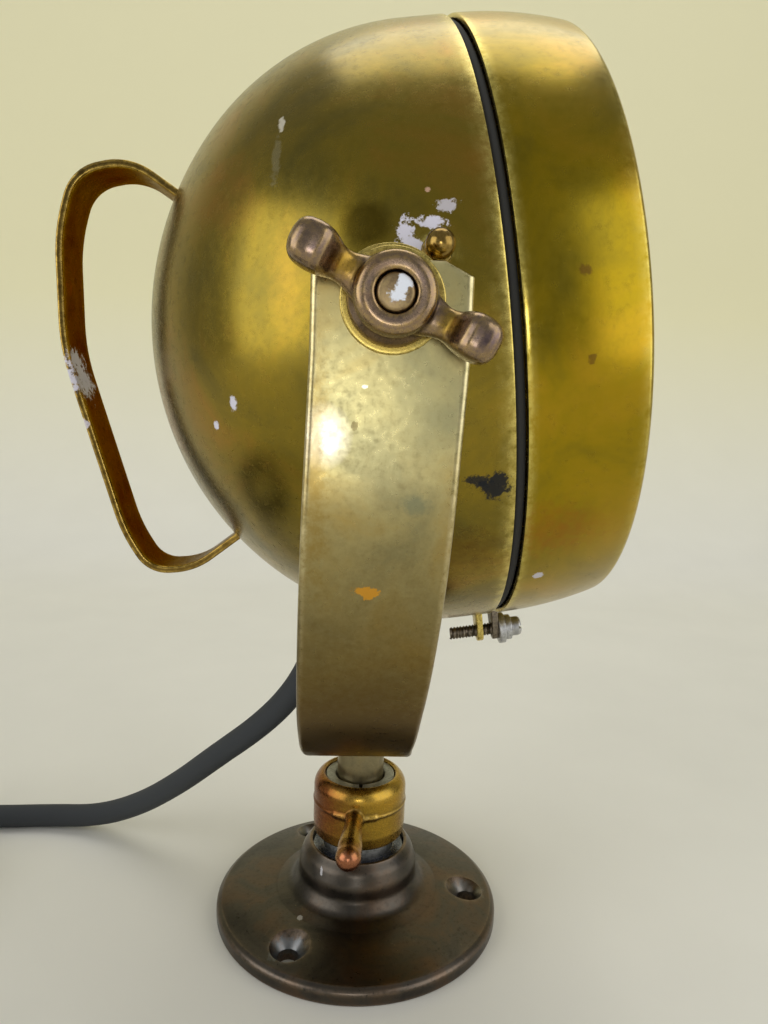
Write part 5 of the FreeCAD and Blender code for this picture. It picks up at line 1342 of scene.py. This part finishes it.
@dataclass
class Pivot:
    """One pivot: boss, washers, stud and wing nut."""

    side: Side
    wing_angle: float
    yoke_face: float = 94.0
    washer_height: float = 1.2
    washer_radius: float = 9.35
    friction_low: float = 88.8
    friction_high: float = 90.0
    friction_radius: float = 10.9
    hub_height: float = 9.6
    hub_foot: float = 8.3
    bore: float = 3.45
    play: float = 0.05
    wing_sections: Tuple[Sequence[float], ...] = (
        (4.6, 3.8, 4.6, 2.8, 2.8), (6.0, 4.0, 4.0, 2.8, 2.8), (7.6, 4.3, 3.35, 2.7, 2.8),
        (9.0, 4.6, 2.85, 2.6, 2.8), (10.2, 5.0, 2.75, 2.6, 2.8), (11.2, 5.7, 2.95, 2.9, 3.0),
        (12.0, 6.7, 3.35, 3.5, 3.2), (12.9, 7.5, 3.65, 4.0, 3.4), (14.0, 7.8, 3.85, 4.3, 3.6),
        (15.5, 7.8, 3.9, 4.4, 3.6), (17.0, 7.8, 3.75, 4.25, 3.4), (18.0, 7.8, 3.4, 3.9, 3.1),
        (18.7, 7.8, 2.7, 3.3, 2.8), (19.15, 7.8, 1.6, 2.1, 2.4),
    )

    @property
    def axis(self) -> Matrix:
        """Placement whose x axis points out along the pivot."""
        return HEAD @ outward(self.side)

    def wing_nut(self) -> Object:
        """Cast nut: a hub rolled over at its mouth, saddle-shaped arms and thick rounded tabs."""
        foot = self.yoke_face + self.washer_height
        top = foot + self.hub_height
        turned = self.axis @ spun(self.wing_angle, "X")
        hub = [
            (foot, self.bore), (foot, self.hub_foot, 0.8), (foot + 2.2, 8.0, 1.2), (foot + 4.4, 6.5, 1.6),
            (top - 3.0, 7.2, 2.0), (top - 0.5, 6.7, 1.6), (top, 5.4, 1.2), (top - 0.1, 3.6, 0.3),
            (top - 1.2, self.bore),
        ]
        lumps = [lathe("hub", rounded(hub, turn_step=8.0), turned, 96)]
        for half_turn in (0.0, 180.0):
            place = turned @ shifted(foot, 0.0, 0.0) @ spun(half_turn, "X")
            lumps.append(loft("wing", self.wing_sections, place))
        nut = cast(f"wing_nut_{self.side.name.lower()}_cast", lumps, 0.25, 4)
        start, end = (self.axis @ Vector((along * MM, 0.0, 0.0)) for along in (foot - 1.0, top + 1.0))
        return smooth(drilled(nut, [tunnel(self.bore, start, end)]), 50.0)

    def build(self) -> None:
        """Make and dress every piece of the pivot."""
        name = self.side.name.lower()
        dress(self.wing_nut(), WING_BRASS, f"wing_nut_{name}", [f"wing_nut_{name}"])
        outer = (self.yoke_face + self.play, self.yoke_face + self.washer_height, self.washer_radius, 0.35)
        inner = (self.friction_low, self.friction_high - self.play, self.friction_radius, 0.25)
        for kind, (low, high, radius, fillet) in (("wing", outer), ("friction", inner)):
            node = f"{kind}_washer_{name}"
            washer = ring(f"{node}_pressed", low, high, self.bore - 0.05, radius, self.axis, fillet, 128)
            dress(washer, WASHER_BRASS, "head", [node])
        dress_copies("head", [
            (f"pivot_stud_{name}", STUD_BRASS, "stud_brass", 0.3),
            (f"pivot_boss_{name}", BOWL_BRASS, "bowl_brass", 0.3),
            (f"pivot_doubler_{name}", BOWL_BRASS, "bowl_brass", 0.15),
        ])


# Bowl with its handle, seam and gland


@dataclass
class Bowl:
    """Spun back bowl, its handle, seam and cable gland."""

    radius: float = 82.0
    wall: float = 1.1
    widest: float = 13.7
    depth: float = 76.6
    cap_radius: float = 85.5
    front: float = 23.5
    stud_hole: float = 3.4
    key_hole: float = 3.0
    handle_width: float = 17.0
    handle_thickness: float = 2.0
    handle_line: Tuple[Spot, ...] = (
        (-47.3, 45.9), (-61.7, 58.5), (-78.4, 56.8), (-85.5, 40.7), (-89.2, 8.8), (-86.2, -9.8),
        (-80.3, -45.9), (-74.3, -58.8), (-60.6, -59.7), (-43.9, -50.2),
    )
    handle_inside: Spot = (-60.0, -5.0)
    gland_seat: Triple = (-9.2, 0.0, 103.2)
    gland_way: Triple = (-0.333, 0.0, -0.943)
    gland_line: Tuple[Sequence[float], ...] = (
        (-6.4, 4.1), (10.0, 4.1, 0.3), (10.0, 6.0, 0.8), (7.0, 6.2, 1.0), (4.2, 6.6, 1.2), (3.6, 8.6, 0.9),
        (0.6, 8.6, 0.3), (0.6, 6.0), (-6.4, 6.0),
    )
    seal_line: Tuple[Sequence[float], ...] = (
        (23.6, 77.0), (25.8, 77.0), (25.8, 80.8, 0.9), (23.6, 80.8, 0.9),
    )

    def line(self, growth: float, front: float) -> List[Spot]:
        """Meridian of the bowl from its pole to its front edge, grown outwards.

        Args:
            growth: distance outwards from the outer face, in millimetres.
            front: place of the front end along the axis.

        Returns:
            Points (along, radius).
        """
        pole = self.widest - self.depth
        run = self.depth - self.cap_radius
        side = (run * run + self.radius ** 2 - self.cap_radius ** 2) / (2 * (self.radius - self.cap_radius))
        cap_centre = Vector((pole + self.cap_radius, 0.0))
        side_centre = Vector((self.widest, self.radius - side))
        way = (side_centre - cap_centre).normalized()
        meet = atan2(way.y, way.x)
        places = arc(cap_centre, self.cap_radius + growth, pi, meet, 28)
        places[0] = (places[0][0], 0.0)
        places += arc(side_centre, side + growth, meet, pi / 2, 28)[1:]
        radius = self.radius + growth
        return places + [(self.widest + (front - self.widest) * step / 5, radius) for step in range(1, 6)]

    def shell(self) -> Object:
        """The bowl, bored for the pivots and the key."""
        outer = self.line(0.0, self.front - 0.45)
        inner = self.line(-self.wall, self.front - 0.45)
        lip = [(self.front - 0.12, self.radius - 0.13), (self.front, self.radius - 0.45)]
        inside = self.radius - self.wall
        back = [(self.front, inside + 0.3), (self.front - 0.12, inside + 0.1)]
        piece = lathe("spun_bowl", outer + lip + back + inner[::-1], HEAD, 224, closed=False)
        cutters = []
        for side in Side:
            start, end = (HEAD @ Vector((0.0, side.value * reach, 0.0)) for reach in (0.06, 0.1))
            cutters.append(tunnel(self.stud_hole, start, end))
        start, end = (HEAD @ Vector((KEY_PLACE[0] * MM, -reach, KEY_PLACE[1] * MM)) for reach in (0.07, 0.1))
        cutters.append(tunnel(self.key_hole, start, end))
        return smooth(drilled(piece, cutters))

    def handle(self) -> Object:
        """Bent strip that ends on the bowl."""
        outer = eased(self.handle_line, 0.45)
        middle: List[Spot] = []
        for index, spot in enumerate(outer):
            way = heading(outer, index)
            across = Vector((-way.y, way.x))
            if across.dot(Vector(self.handle_inside) - Vector(spot)) < 0:
                across = -across
            place = Vector(spot) + across * (self.handle_thickness / 2)
            middle.append((place.x, place.y))
        width = [self.handle_width] * len(middle)
        piece = bar("strip_handle", middle, HEAD, width, self.handle_thickness, 0.55)
        bowl = self.line(0.05, 60.0) + [(60.0, 0.0)]
        return smooth(drilled(piece, [lathe("bowl_form", bowl, HEAD, 160, closed=False)]))

    def build(self) -> None:
        """Make and dress every piece of the bowl."""
        dress(self.shell(), BOWL_BRASS, "head", ["rear_shell"])
        dress(self.handle(), HANDLE_BRASS, "head", ["handle"])
        seal = smooth(lathe("seam_rubber", rounded(self.seal_line), HEAD, 192))
        dress(seal, SEAL_RUBBER_SHADE_BLACK, "head", ["seam_seal"])
        turn = shifted(*self.gland_seat) @ aimed(Vector(self.gland_way).normalized())
        gland = smooth(lathe("turned_gland", fine(rounded(self.gland_line), 1.5), turn, 96))
        dress(gland, KEY_BRASS, "head", ["cable_gland"])
        dress_copies("head", [
            ("handle_nuts", POST_BRASS, "screw_steel", 0.2), ("spigot_ring", RIM_BRASS, "bowl_brass", 0.0),
            ("shell_lug", WASHER_BRASS, "bowl_brass", 0.35), ("gland_nut", KEY_BRASS, "key_brass", 0.2),
            ("cord_end", CORD_RUBBER, "cord_rubber", 0.0), ("lead_to_holder", LEAD_CLOTH, "cord_rubber", 0.0),
            ("lead_to_key", LEAD_CLOTH, "cord_rubber", 0.0),
        ])


@dataclass
class FrontFrame:
    """Front rim with its glass, seal, clips, lug and clamp screw."""

    back: float = 25.9
    front: float = 53.4
    radius: float = 82.0
    wall: float = 1.2
    crown: float = 102.5
    corner: float = 4.4
    opening: float = 70.0
    lip: float = 2.6
    glass_back: float = 47.45
    glass_front: float = 50.65
    glass_radius: float = 74.0
    glass_dome: float = 69.4
    glass_bulge: float = 2.6
    screw_turn: float = -4.3
    screw_drop: float = 88.6
    screw_back: float = 13.35
    screw_head: float = 31.95
    screw_head_height: float = 3.1
    screw_head_radius: float = 2.9
    screw_play: float = 0.05
    slot_width: float = 0.9
    thread_core: float = 1.5
    thread_ridge: float = 0.42
    thread_pitch: float = 0.95

    @property
    def screw_seat(self) -> Matrix:
        """Placement whose x axis is the clamp screw's."""
        return HEAD @ spun(self.screw_turn, "X") @ shifted(0.0, 0.0, -self.screw_drop)

    def crown_point(self, along: float, growth: float = 0.0) -> Spot:
        """Point of the crowned band at a place along the axis."""
        run = along - self.back
        size = self.crown + growth
        return along, self.radius - self.crown + sqrt(size * size - run * run)

    def rim(self) -> Object:
        """Spun band with a soft front corner, turned in over the glass."""
        front, back = self.front, self.back
        outer_start, outer_end = self.crown_point(back + 0.45), self.crown_point(front - 3.2)
        face = front - self.wall
        inner_start = self.crown_point(face - 4.0, -self.wall)
        inner_end = (back + 0.2, self.radius - self.wall)
        line = [(back, self.radius - 0.5), (back + 0.12, self.radius - 0.14), outer_start]
        line += bow(outer_start, outer_end, self.crown, 24)
        turned_in = [
            outer_end, (*self.crown_point(front), self.corner), (front, self.opening, 0.5),
            (front - self.lip, self.opening, 0.4), (front - self.lip, self.opening + self.wall),
            (face, self.opening + self.wall), (*self.crown_point(face, -self.wall), 3.2), inner_start,
        ]
        line += rounded(turned_in, closed=False, turn_step=6.0)
        line += bow(inner_start, inner_end, -(self.crown - self.wall), 12)
        line += [inner_end, (back, self.radius - self.wall + 0.25)]
        return smooth(lathe("spun_rim", line, HEAD, 224))

    def glass(self) -> Object:
        """Slightly domed front glass."""
        low, high, edge, dome = self.glass_back, self.glass_front, self.glass_radius, self.glass_dome
        rise = [(self.glass_bulge * (1 - (step / 16) ** 2), dome * step / 16) for step in range(17)]
        line = [(low + bulge, radius) for bulge, radius in rise]
        line += rounded([(low, dome), (low, edge, 0.3), (high, edge, 0.3), (high, dome)], closed=False)[1:]
        line += [(high + bulge, radius) for bulge, radius in rise[-2::-1]]
        return smooth(lathe("domed_glass", line, HEAD, 160, closed=False))

    def screw(self) -> Object:
        """Threaded clamp screw."""
        sizes = {
            "Core Radius": self.thread_core, "Ridge": self.thread_ridge, "Pitch": self.thread_pitch,
            "Length": self.screw_head - self.screw_back,
        }
        sizes = {label: size * MM for label, size in sizes.items()}
        shank = grown("clamp_screw_thread", thread_tree(SCREW_STEEL.material()), sizes)
        shank.data.transform(self.screw_seat @ shifted(self.screw_back, 0.0, 0.0) @ spun(90.0, "Y"))
        return smooth(shank)

    def screw_top(self) -> Object:
        """Worn round head of the clamp screw with its slot."""
        low, high = self.screw_head + self.screw_play, self.screw_head + self.screw_head_height
        radius = self.screw_head_radius
        corners = [(low, 0.0), (low, radius, 0.3), (high, radius, 1.1), (high, 0.0)]
        line = fine(rounded(corners, closed=False, turn_step=10.0), 0.8, closed=False)
        head = lathe("clamp_screw_head", line, self.screw_seat, 64, closed=False)
        slot = bar(
            "slot", [(high - 1.0, 0.0), (high + 1.0, 0.0)], self.screw_seat, [8.0, 8.0], self.slot_width, 0.05
        )
        return smooth(drilled(head, [slot]))

    def build(self) -> None:
        """Make and dress every piece of the front."""
        dress(self.rim(), RIM_BRASS, "front", ["front_rim"])
        dress(self.glass(), LENS, "front", ["front_glass"])
        dress_copies("front", [
            ("glass_seal", SEAL_RUBBER_SHADE_BLACK, "seal_rubber", 0.2),
            ("glass_clips", SPRING_BRONZE, "spring_bronze", 0.15),
            # The brass rim lug takes the dark screw steel finish as painted shade, as it lies in shade beside
            # the clamp screw
            ("rim_lug", SCREW_STEEL, "rim_brass", 0.35), ("clamp_washer", ZINC, "washer_zinc", 0.3),
            ("clamp_spring_washer", ZINC, "washer_zinc", 0.3),
        ])
        dress(self.screw(), SCREW_STEEL, "clamp_screw", ["clamp_screw"])
        dress(self.screw_top(), ZINC, "clamp_screw", [])


@dataclass
class Optics:
    """Reflector, bulb and holder behind the glass."""

    focus: float = 31.0
    neck: float = 17.0
    neck_length: float = 8.0
    rim: float = 74.0
    wall: float = 0.8
    flange_back: float = 30.0
    flange_front: float = 30.8
    flange_radius: float = 78.4
    screw_count: float = 3.0
    screw_circle: float = 76.4
    screw_angle: float = 40.0
    filament_place: float = 16.84
    filament_radius: float = 0.9
    filament_half: float = 7.0
    filament_turns: int = 14
    wire_radius: float = 0.16
    support_radius: float = 0.3

    def reflector(self) -> Object:
        """Silvered parabola with its neck and flange."""
        front: List[Spot] = []
        for step in range(25):
            radius = self.neck + (self.rim - self.neck) * step / 24
            front.append((self.flange_back - (self.rim ** 2 - radius ** 2) / (4 * self.focus), radius))
        back = [(along - self.wall, radius + self.wall * 0.35) for along, radius in front]
        low, neck = front[0][0] - self.neck_length, self.neck + self.wall
        flange = [
            (self.flange_front, self.rim + 0.2), (self.flange_front, self.flange_radius),
            (self.flange_back, self.flange_radius), (self.flange_back, self.rim + 0.6),
        ]
        line = [(low, self.neck), *front, *flange, *back[::-1], (back[0][0], neck), (low, neck)]
        return smooth(lathe("silvered_reflector_bowl", line, HEAD, 160))

    def filament(self) -> Object:
        """Coiled filament on its two supports inside the bulb."""
        centre, half, radius = self.filament_place, self.filament_half, self.filament_radius
        places = []
        for step in range(161):
            share = step / 160
            angle = share * 2 * pi * self.filament_turns
            spot = Vector((centre + radius * cos(angle), 2 * half * share - half, radius * sin(angle)))
            places.append(HEAD @ (spot * MM))
        pieces = [tube("filament_coil", places, self.wire_radius, 6)]
        for hand in (-1.0, 1.0):
            run = ((-7.0, hand * 2.5), (4.0, hand * 3.5), (12.0, hand * 6.4), (centre, hand * half))
            places = [HEAD @ (Vector((along, across, 0.0)) * MM) for along, across in run]
            pieces.append(tube("support", places, self.support_radius, 8))
        return smooth(joined("filament_and_supports", pieces))

    def screws(self) -> Object:
        """Pan-head screws of the reflector, repeated round its flange."""
        line = rounded(
            [(-4.0, 0.0), (-4.0, 1.1), (0.0, 1.1), (0.0, 2.0, 0.2), (1.4, 2.0, 0.8), (1.4, 0.0)], closed=False
        )
        place = shifted(self.flange_front, 0.0, self.screw_circle)
        pattern = lathe("screw_pattern", line, place, 32, closed=False)
        tree = round_the_axis_tree("reflector_screw_ring", pattern, ZINC.material())
        sizes = {"Count": self.screw_count, "First Angle": radians(self.screw_angle)}
        made = grown("reflector_screws_turned", tree, sizes)
        made.data.transform(HEAD)
        bpy.data.objects.remove(pattern)
        return smooth(made)

    def build(self) -> None:
        """Make and dress every piece behind the glass."""
        dress(self.reflector(), SILVER, "head", ["reflector"])
        dress(self.screws(), ZINC, "head", ["reflector_screws"])
        dress(self.filament(), SCREW_STEEL, "head", [])
        dress_copies("head", [
            ("lamp_holder", BAKELITE, "holder_bakelite", 0.4), ("bulb_cap", ZINC, "cap_steel", 0.4),
            ("bulb_glass", LAMP_GLASS, "lamp_glass", 0.0),
        ])


@dataclass
class SignalKey:
    """Ball-ended press key beside the near pivot, and its contact inside."""

    ball_radius: float = 2.85
    ball_reach: float = 86.8
    stem_radius: float = 1.5
    stem_end: float = 67.6
    collar_low: float = 75.6
    collar_high: float = 76.6
    collar_radius: float = 2.5

    def key(self) -> Object:
        """Stem, collar and polished ball."""
        stem, collar = self.stem_radius, self.collar_radius
        line = [
            (self.stem_end, 0.0), (self.stem_end, stem), (self.collar_low, stem), (self.collar_low, collar),
            (self.collar_high, collar), (self.collar_high, stem),
        ]
        first = asin(stem / self.ball_radius)
        line += arc((self.ball_reach, 0.0), self.ball_radius, pi - first, 0.0, 24)
        place = HEAD @ shifted(KEY_PLACE[0], 0.0, KEY_PLACE[1]) @ outward(Side.NEAR)
        return smooth(lathe("ball_key", fine(line, 1.5, closed=False), place, 64, closed=False))

    def build(self) -> None:
        """Make and dress the key and its contact."""
        dress(self.key(), KEY_BRASS, "key", ["signal_key"])
        dress_copies("key", [("key_leaf", SPRING_BRONZE, "spring_bronze", 0.1)])
        dress_copies("head", [
            ("key_bush", KEY_BRASS, "key_brass", 0.15), ("key_block", BAKELITE, "holder_bakelite", 0.4),
            ("key_contact", SPRING_BRONZE, "spring_bronze", 0.1),
        ])


# Mains cord and plug


@dataclass
class Mains:
    """Rubber mains cord from the gland, over the floor to its put-away coil and plug."""

    radius: float = 4.0
    mouth: Triple = (-12.54, 0.0, 93.8)
    knee: Tuple[Triple, ...] = ((-16.2, 0.0, 82.0), (-22.6, 0.4, 70.2), (-32.6, 4.2, 58.4))
    join: Triple = (-47.2, 13.0, 44.4)
    fall: Tuple[Triple, ...] = (
        (-62.8, 23.8, 28.4), (-79.4, 34.4, 14.4), (-97.0, 41.6, 5.6), (-116.0, 44.6, 4.0),
        (-136.0, 43.2, 4.0), (-157.0, 44.0, 4.0), (-180.0, 44.0, 4.0),
    )
    still_from: float = -118.0
    coil_centre: Spot = (-188.0, -11.29)
    coil_outer: float = 55.29
    coil_spread: float = 1.012
    pitch: float = 8.6
    turns: float = 5.25
    tail: Tuple[Triple, ...] = (
        (-243.29, -19.29, 12.6), (-243.29, -43.29, 12.6), (-239.49, -69.29, 5.2), (-222.49, -89.29, 4.6),
        (-197.59, -99.29, 8.6), (-171.89, -101.89, 12.5), (-148.89, -102.69, 12.5),
    )
    relief_ribs: int = 6
    relief_gap: float = 3.4
    grip_ribs: int = 4
    grip_gap: float = 2.0
    grip_low: float = 38.0
    grip_radius: float = 12.4
    pin_radius: float = 2.4
    pin_end: float = 67.0
    pin_spread: float = 8.5

    def coil(self) -> List[Triple]:
        """Points of the coil: in on the floor, up, and out on top."""
        places: List[Triple] = []
        x, y = self.coil_centre
        steps = int(self.turns * 16)
        for step in range(steps + 1):
            turn = self.turns * step / steps
            radius = (self.coil_outer - self.pitch * min(turn, self.turns - turn)) * self.coil_spread
            angle = pi / 2 + 2 * pi * turn
            climb = min(max((turn - self.turns / 2 + 0.25) / 0.5, 0.0), 1.0)
            height = self.radius + self.pitch * (1 - cos(pi * climb)) / 2
            places.append((x + radius * cos(angle), y + radius * sin(angle), height))
        return places

    def centreline(self) -> List[Vector]:
        """Points read from the cord's own smooth spline, in metres."""
        route = [self.mouth, *self.knee, self.join, *self.fall, *self.coil(), *self.tail]
        curve = bpy.data.curves.new("cord_line", "CURVE")
        curve.dimensions = "3D"
        spline = curve.splines.new("NURBS")
        spline.points.add(len(route) - 1)
        for spot, place in zip(spline.points, route):
            spot.co = (place[0] * MM, place[1] * MM, place[2] * MM, 1.0)
        spline.order_u = 3
        spline.use_endpoint_u = True
        spline.resolution_u = 6
        holder = new_piece("cord_line", curve)
        graph = bpy.context.evaluated_depsgraph_get()
        mesh = bpy.data.meshes.new_from_object(holder.evaluated_get(graph))
        places = [vertex.co.copy() for vertex in mesh.vertices]
        bpy.data.objects.remove(holder)
        return places

    def plug(self, seat: Matrix) -> List[Object]:
        """Ribbed relief, grip and pins, along the x axis of a placement at the cord's end."""
        relief: List[Sequence[float]] = [(-0.5, 0.0), (-0.5, 4.3, 0.3)]
        for rib in range(self.relief_ribs):
            low = 0.8 + rib * self.relief_gap
            swell = 4.5 + 1.6 * rib / self.relief_ribs
            relief += [(low, swell + 0.1, 0.3), (low + 2.2, swell + 0.3, 0.3)]
            relief += [(low + 2.5, swell - 0.5), (low + 3.1, swell - 0.45)]
        relief += [(21.6, 6.1, 0.2), (22.0, 6.1), (22.0, 0.0)]
        grip: List[Sequence[float]] = [(21.9, 0.0), (21.9, 7.4, 0.6), (28.6, 8.4, 3.0), (36.0, 12.0, 4.0)]
        high, deep = self.grip_radius, self.grip_radius - 0.5
        for rib in range(self.grip_ribs):
            low = self.grip_low + rib * self.grip_gap
            grip += [(low, high), (low + 0.9, high), (low + 1.1, deep), (low + 1.7, deep)]
        grip += [(46.4, high, 0.2), (48.0, high, 0.9), (48.0, 0.0)]
        pieces = [
            smooth(lathe(name, rounded(line, closed=False), seat, steps, closed=False))
            for name, line, steps in (("ribbed_relief", relief, 48), ("round_plug", grip, 80))
        ]
        end, thick = self.pin_end, self.pin_radius
        pin = [(47.5, 0.0), (47.5, thick), (end, thick, 1.6), (end, 0.0)]
        pin = fine(rounded(pin, closed=False, turn_step=12.0), 2.0, closed=False)
        pins = [
            lathe("pin", pin, seat @ shifted(0.0, hand * self.pin_spread, 0.0), 32, closed=False)
            for hand in (-1.0, 1.0)
        ]
        pieces.append(smooth(joined("round_pins", pins)))
        finishes = (
            (PLUG_RUBBER, "plug_relief", "cord_rubber"), (PLUG_RUBBER, "plug_body", "cord_rubber"),
            (NICKEL, "plug_pins", "cap_steel"),
        )
        for piece, (finish, node, slot) in zip(pieces, finishes):
            dress(piece, finish, "base", [node])
        return pieces

    def build(self) -> None:
        """Make the cord in two stretches that meet at the yoke, and its plug."""
        places = self.centreline()
        join = Vector(self.join) * MM
        cut = min(range(len(places)), key=lambda index: (places[index] - join).length)
        upper_line, lower_line = places[:cut + 1], places[cut:]
        upper = smooth(tube("cord_from_gland", upper_line, self.radius), 60.0)
        lower = smooth(tube("cord_on_floor", lower_line, self.radius), 60.0)
        pieces = self.plug(Matrix.Translation(places[-1]) @ aimed((places[-1] - places[-2]).normalized()))
        for piece in (upper, lower):
            piece.data.materials.append(CORD_RUBBER.material())
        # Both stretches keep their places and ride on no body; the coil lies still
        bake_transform(upper)
        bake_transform(lower)
        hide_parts("cord_upper")
        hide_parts("cord_lower", "cord_coil", "cord_tail")


# Studio


@dataclass
class Studio:
    """Pale floor and backdrop, soft lamps and the camera, all in metres and degrees."""

    paper: Paper = Paper("pale_paper", "#E4E2DA", "#ECEAE2", "#EFE9C2")
    reach: float = 3.0
    wall: float = 0.75
    wall_height: float = 2.6
    bend: float = 0.35
    sky_colour: Tuple[float, ...] = (0.78, 0.80, 0.78, 1.0)
    sky: float = 0.4
    sky_seen: float = 0.95
    lamps: Tuple[Tuple[str, Triple, float, float], ...] = (
        ("window", (-1.2, -0.66, 0.52), 1.1, 7.5), ("front", (-0.031, -0.62, 0.145), 0.12, 0.3),
        ("fill", (1.0, -0.6, 0.5), 1.1, 5.5), ("top", (0.1, 0.5, 1.4), 1.0, 6.0),
    )
    aim: Triple = (0.0, 0.0, 0.16)
    camera_place: Triple = (-0.007094, -0.228822, 0.158945)
    azimuth: float = -2.928
    pitch: float = 7.289
    roll: float = 2.053
    lens: float = 26.33

    def backdrop(self) -> None:
        """Floor that curves up into a wall."""
        curve = arc((self.wall - self.bend, self.bend), self.bend, -pi / 2, 0.0, 16)[1:]
        line = [(-self.reach, 0.0), (self.wall - self.bend, 0.0), *curve, (self.wall, self.wall_height)]
        vertices = [(x, y, z) for y, z in line for x in (-self.reach, self.reach)]
        faces = [(2 * n, 2 * n + 1, 2 * n + 3, 2 * n + 2) for n in range(len(line) - 1)]
        mesh = bpy.data.meshes.new("backdrop")
        mesh.from_pydata(vertices, [], faces)
        mesh.shade_smooth()
        mesh.materials.append(self.paper.material())
        new_piece("backdrop", mesh)

    def lamp(self, name: str, place: Triple, size: float, power: float) -> None:
        """Square soft lamp that looks at the head."""
        light = bpy.data.lights.new(name, "AREA")
        light.size = size
        light.energy = power
        holder = new_piece(name, light)
        holder.location = place
        holder.rotation_euler = (Vector(self.aim) - Vector(place)).to_track_quat("-Z", "Y").to_euler()

    def sky_glow(self) -> None:
        """Soft light from all round, brighter where the camera sees it past the backdrop."""
        world = bpy.data.worlds.new("studio")
        world.use_nodes = True
        tree = world.node_tree
        glow = tree.nodes["Background"]
        seen = add(tree, "ShaderNodeLightPath").outputs["Is Camera Ray"]
        more = self.sky_seen - self.sky
        strength = add(tree, MATH, {0: seen, 1: more, 2: self.sky}, operation="MULTIPLY_ADD")
        fill(tree, glow, {"Color": self.sky_colour, "Strength": strength})
        bpy.context.scene.world = world
        bpy.context.scene.view_settings.view_transform = "Standard"

    def camera(self) -> None:
        """Camera at the photograph's angle."""
        turn, dip, roll = (radians(value) for value in (self.azimuth, self.pitch, self.roll))
        ahead = Vector((-sin(turn) * cos(dip), cos(turn) * cos(dip), -sin(dip)))
        level = ahead.cross(Vector((0.0, 0.0, 1.0))).normalized()
        raised = level.cross(ahead)
        right = level * cos(roll) + raised * sin(roll)
        up = raised * cos(roll) - level * sin(roll)
        data = bpy.data.cameras.new("camera")
        data.lens = self.lens
        data.sensor_width = 36.0
        data.clip_start = 0.01
        holder = new_piece("camera", data)
        basis = Matrix((right, up, -ahead)).transposed().to_4x4()
        holder.matrix_world = Matrix.Translation(self.camera_place) @ basis
        bpy.context.scene.camera = holder

    def build(self) -> None:
        """Set the stage, the lamps, the world and the camera."""
        self.backdrop()
        for name, place, size, power in self.lamps:
            self.lamp(name, place, size, power)
        self.sky_glow()
        self.camera()


def main() -> None:
    """Build the studio and the lamp."""
    logging.basicConfig(level=logging.INFO, format="%(message)s")
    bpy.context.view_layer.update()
    near, far = Pivot(Side.NEAR, -26.5 - HEAD_TILT), Pivot(Side.FAR, 48.0 + HEAD_TILT)
    parts = (Studio(), Mains(), Foot(), Mast(), near, far, Bowl(), FrontFrame(), Optics(), SignalKey())
    for part in parts:
        part.build()
        LOG.info("%s is built", type(part).__name__)


if __name__ == "__main__":
    main()
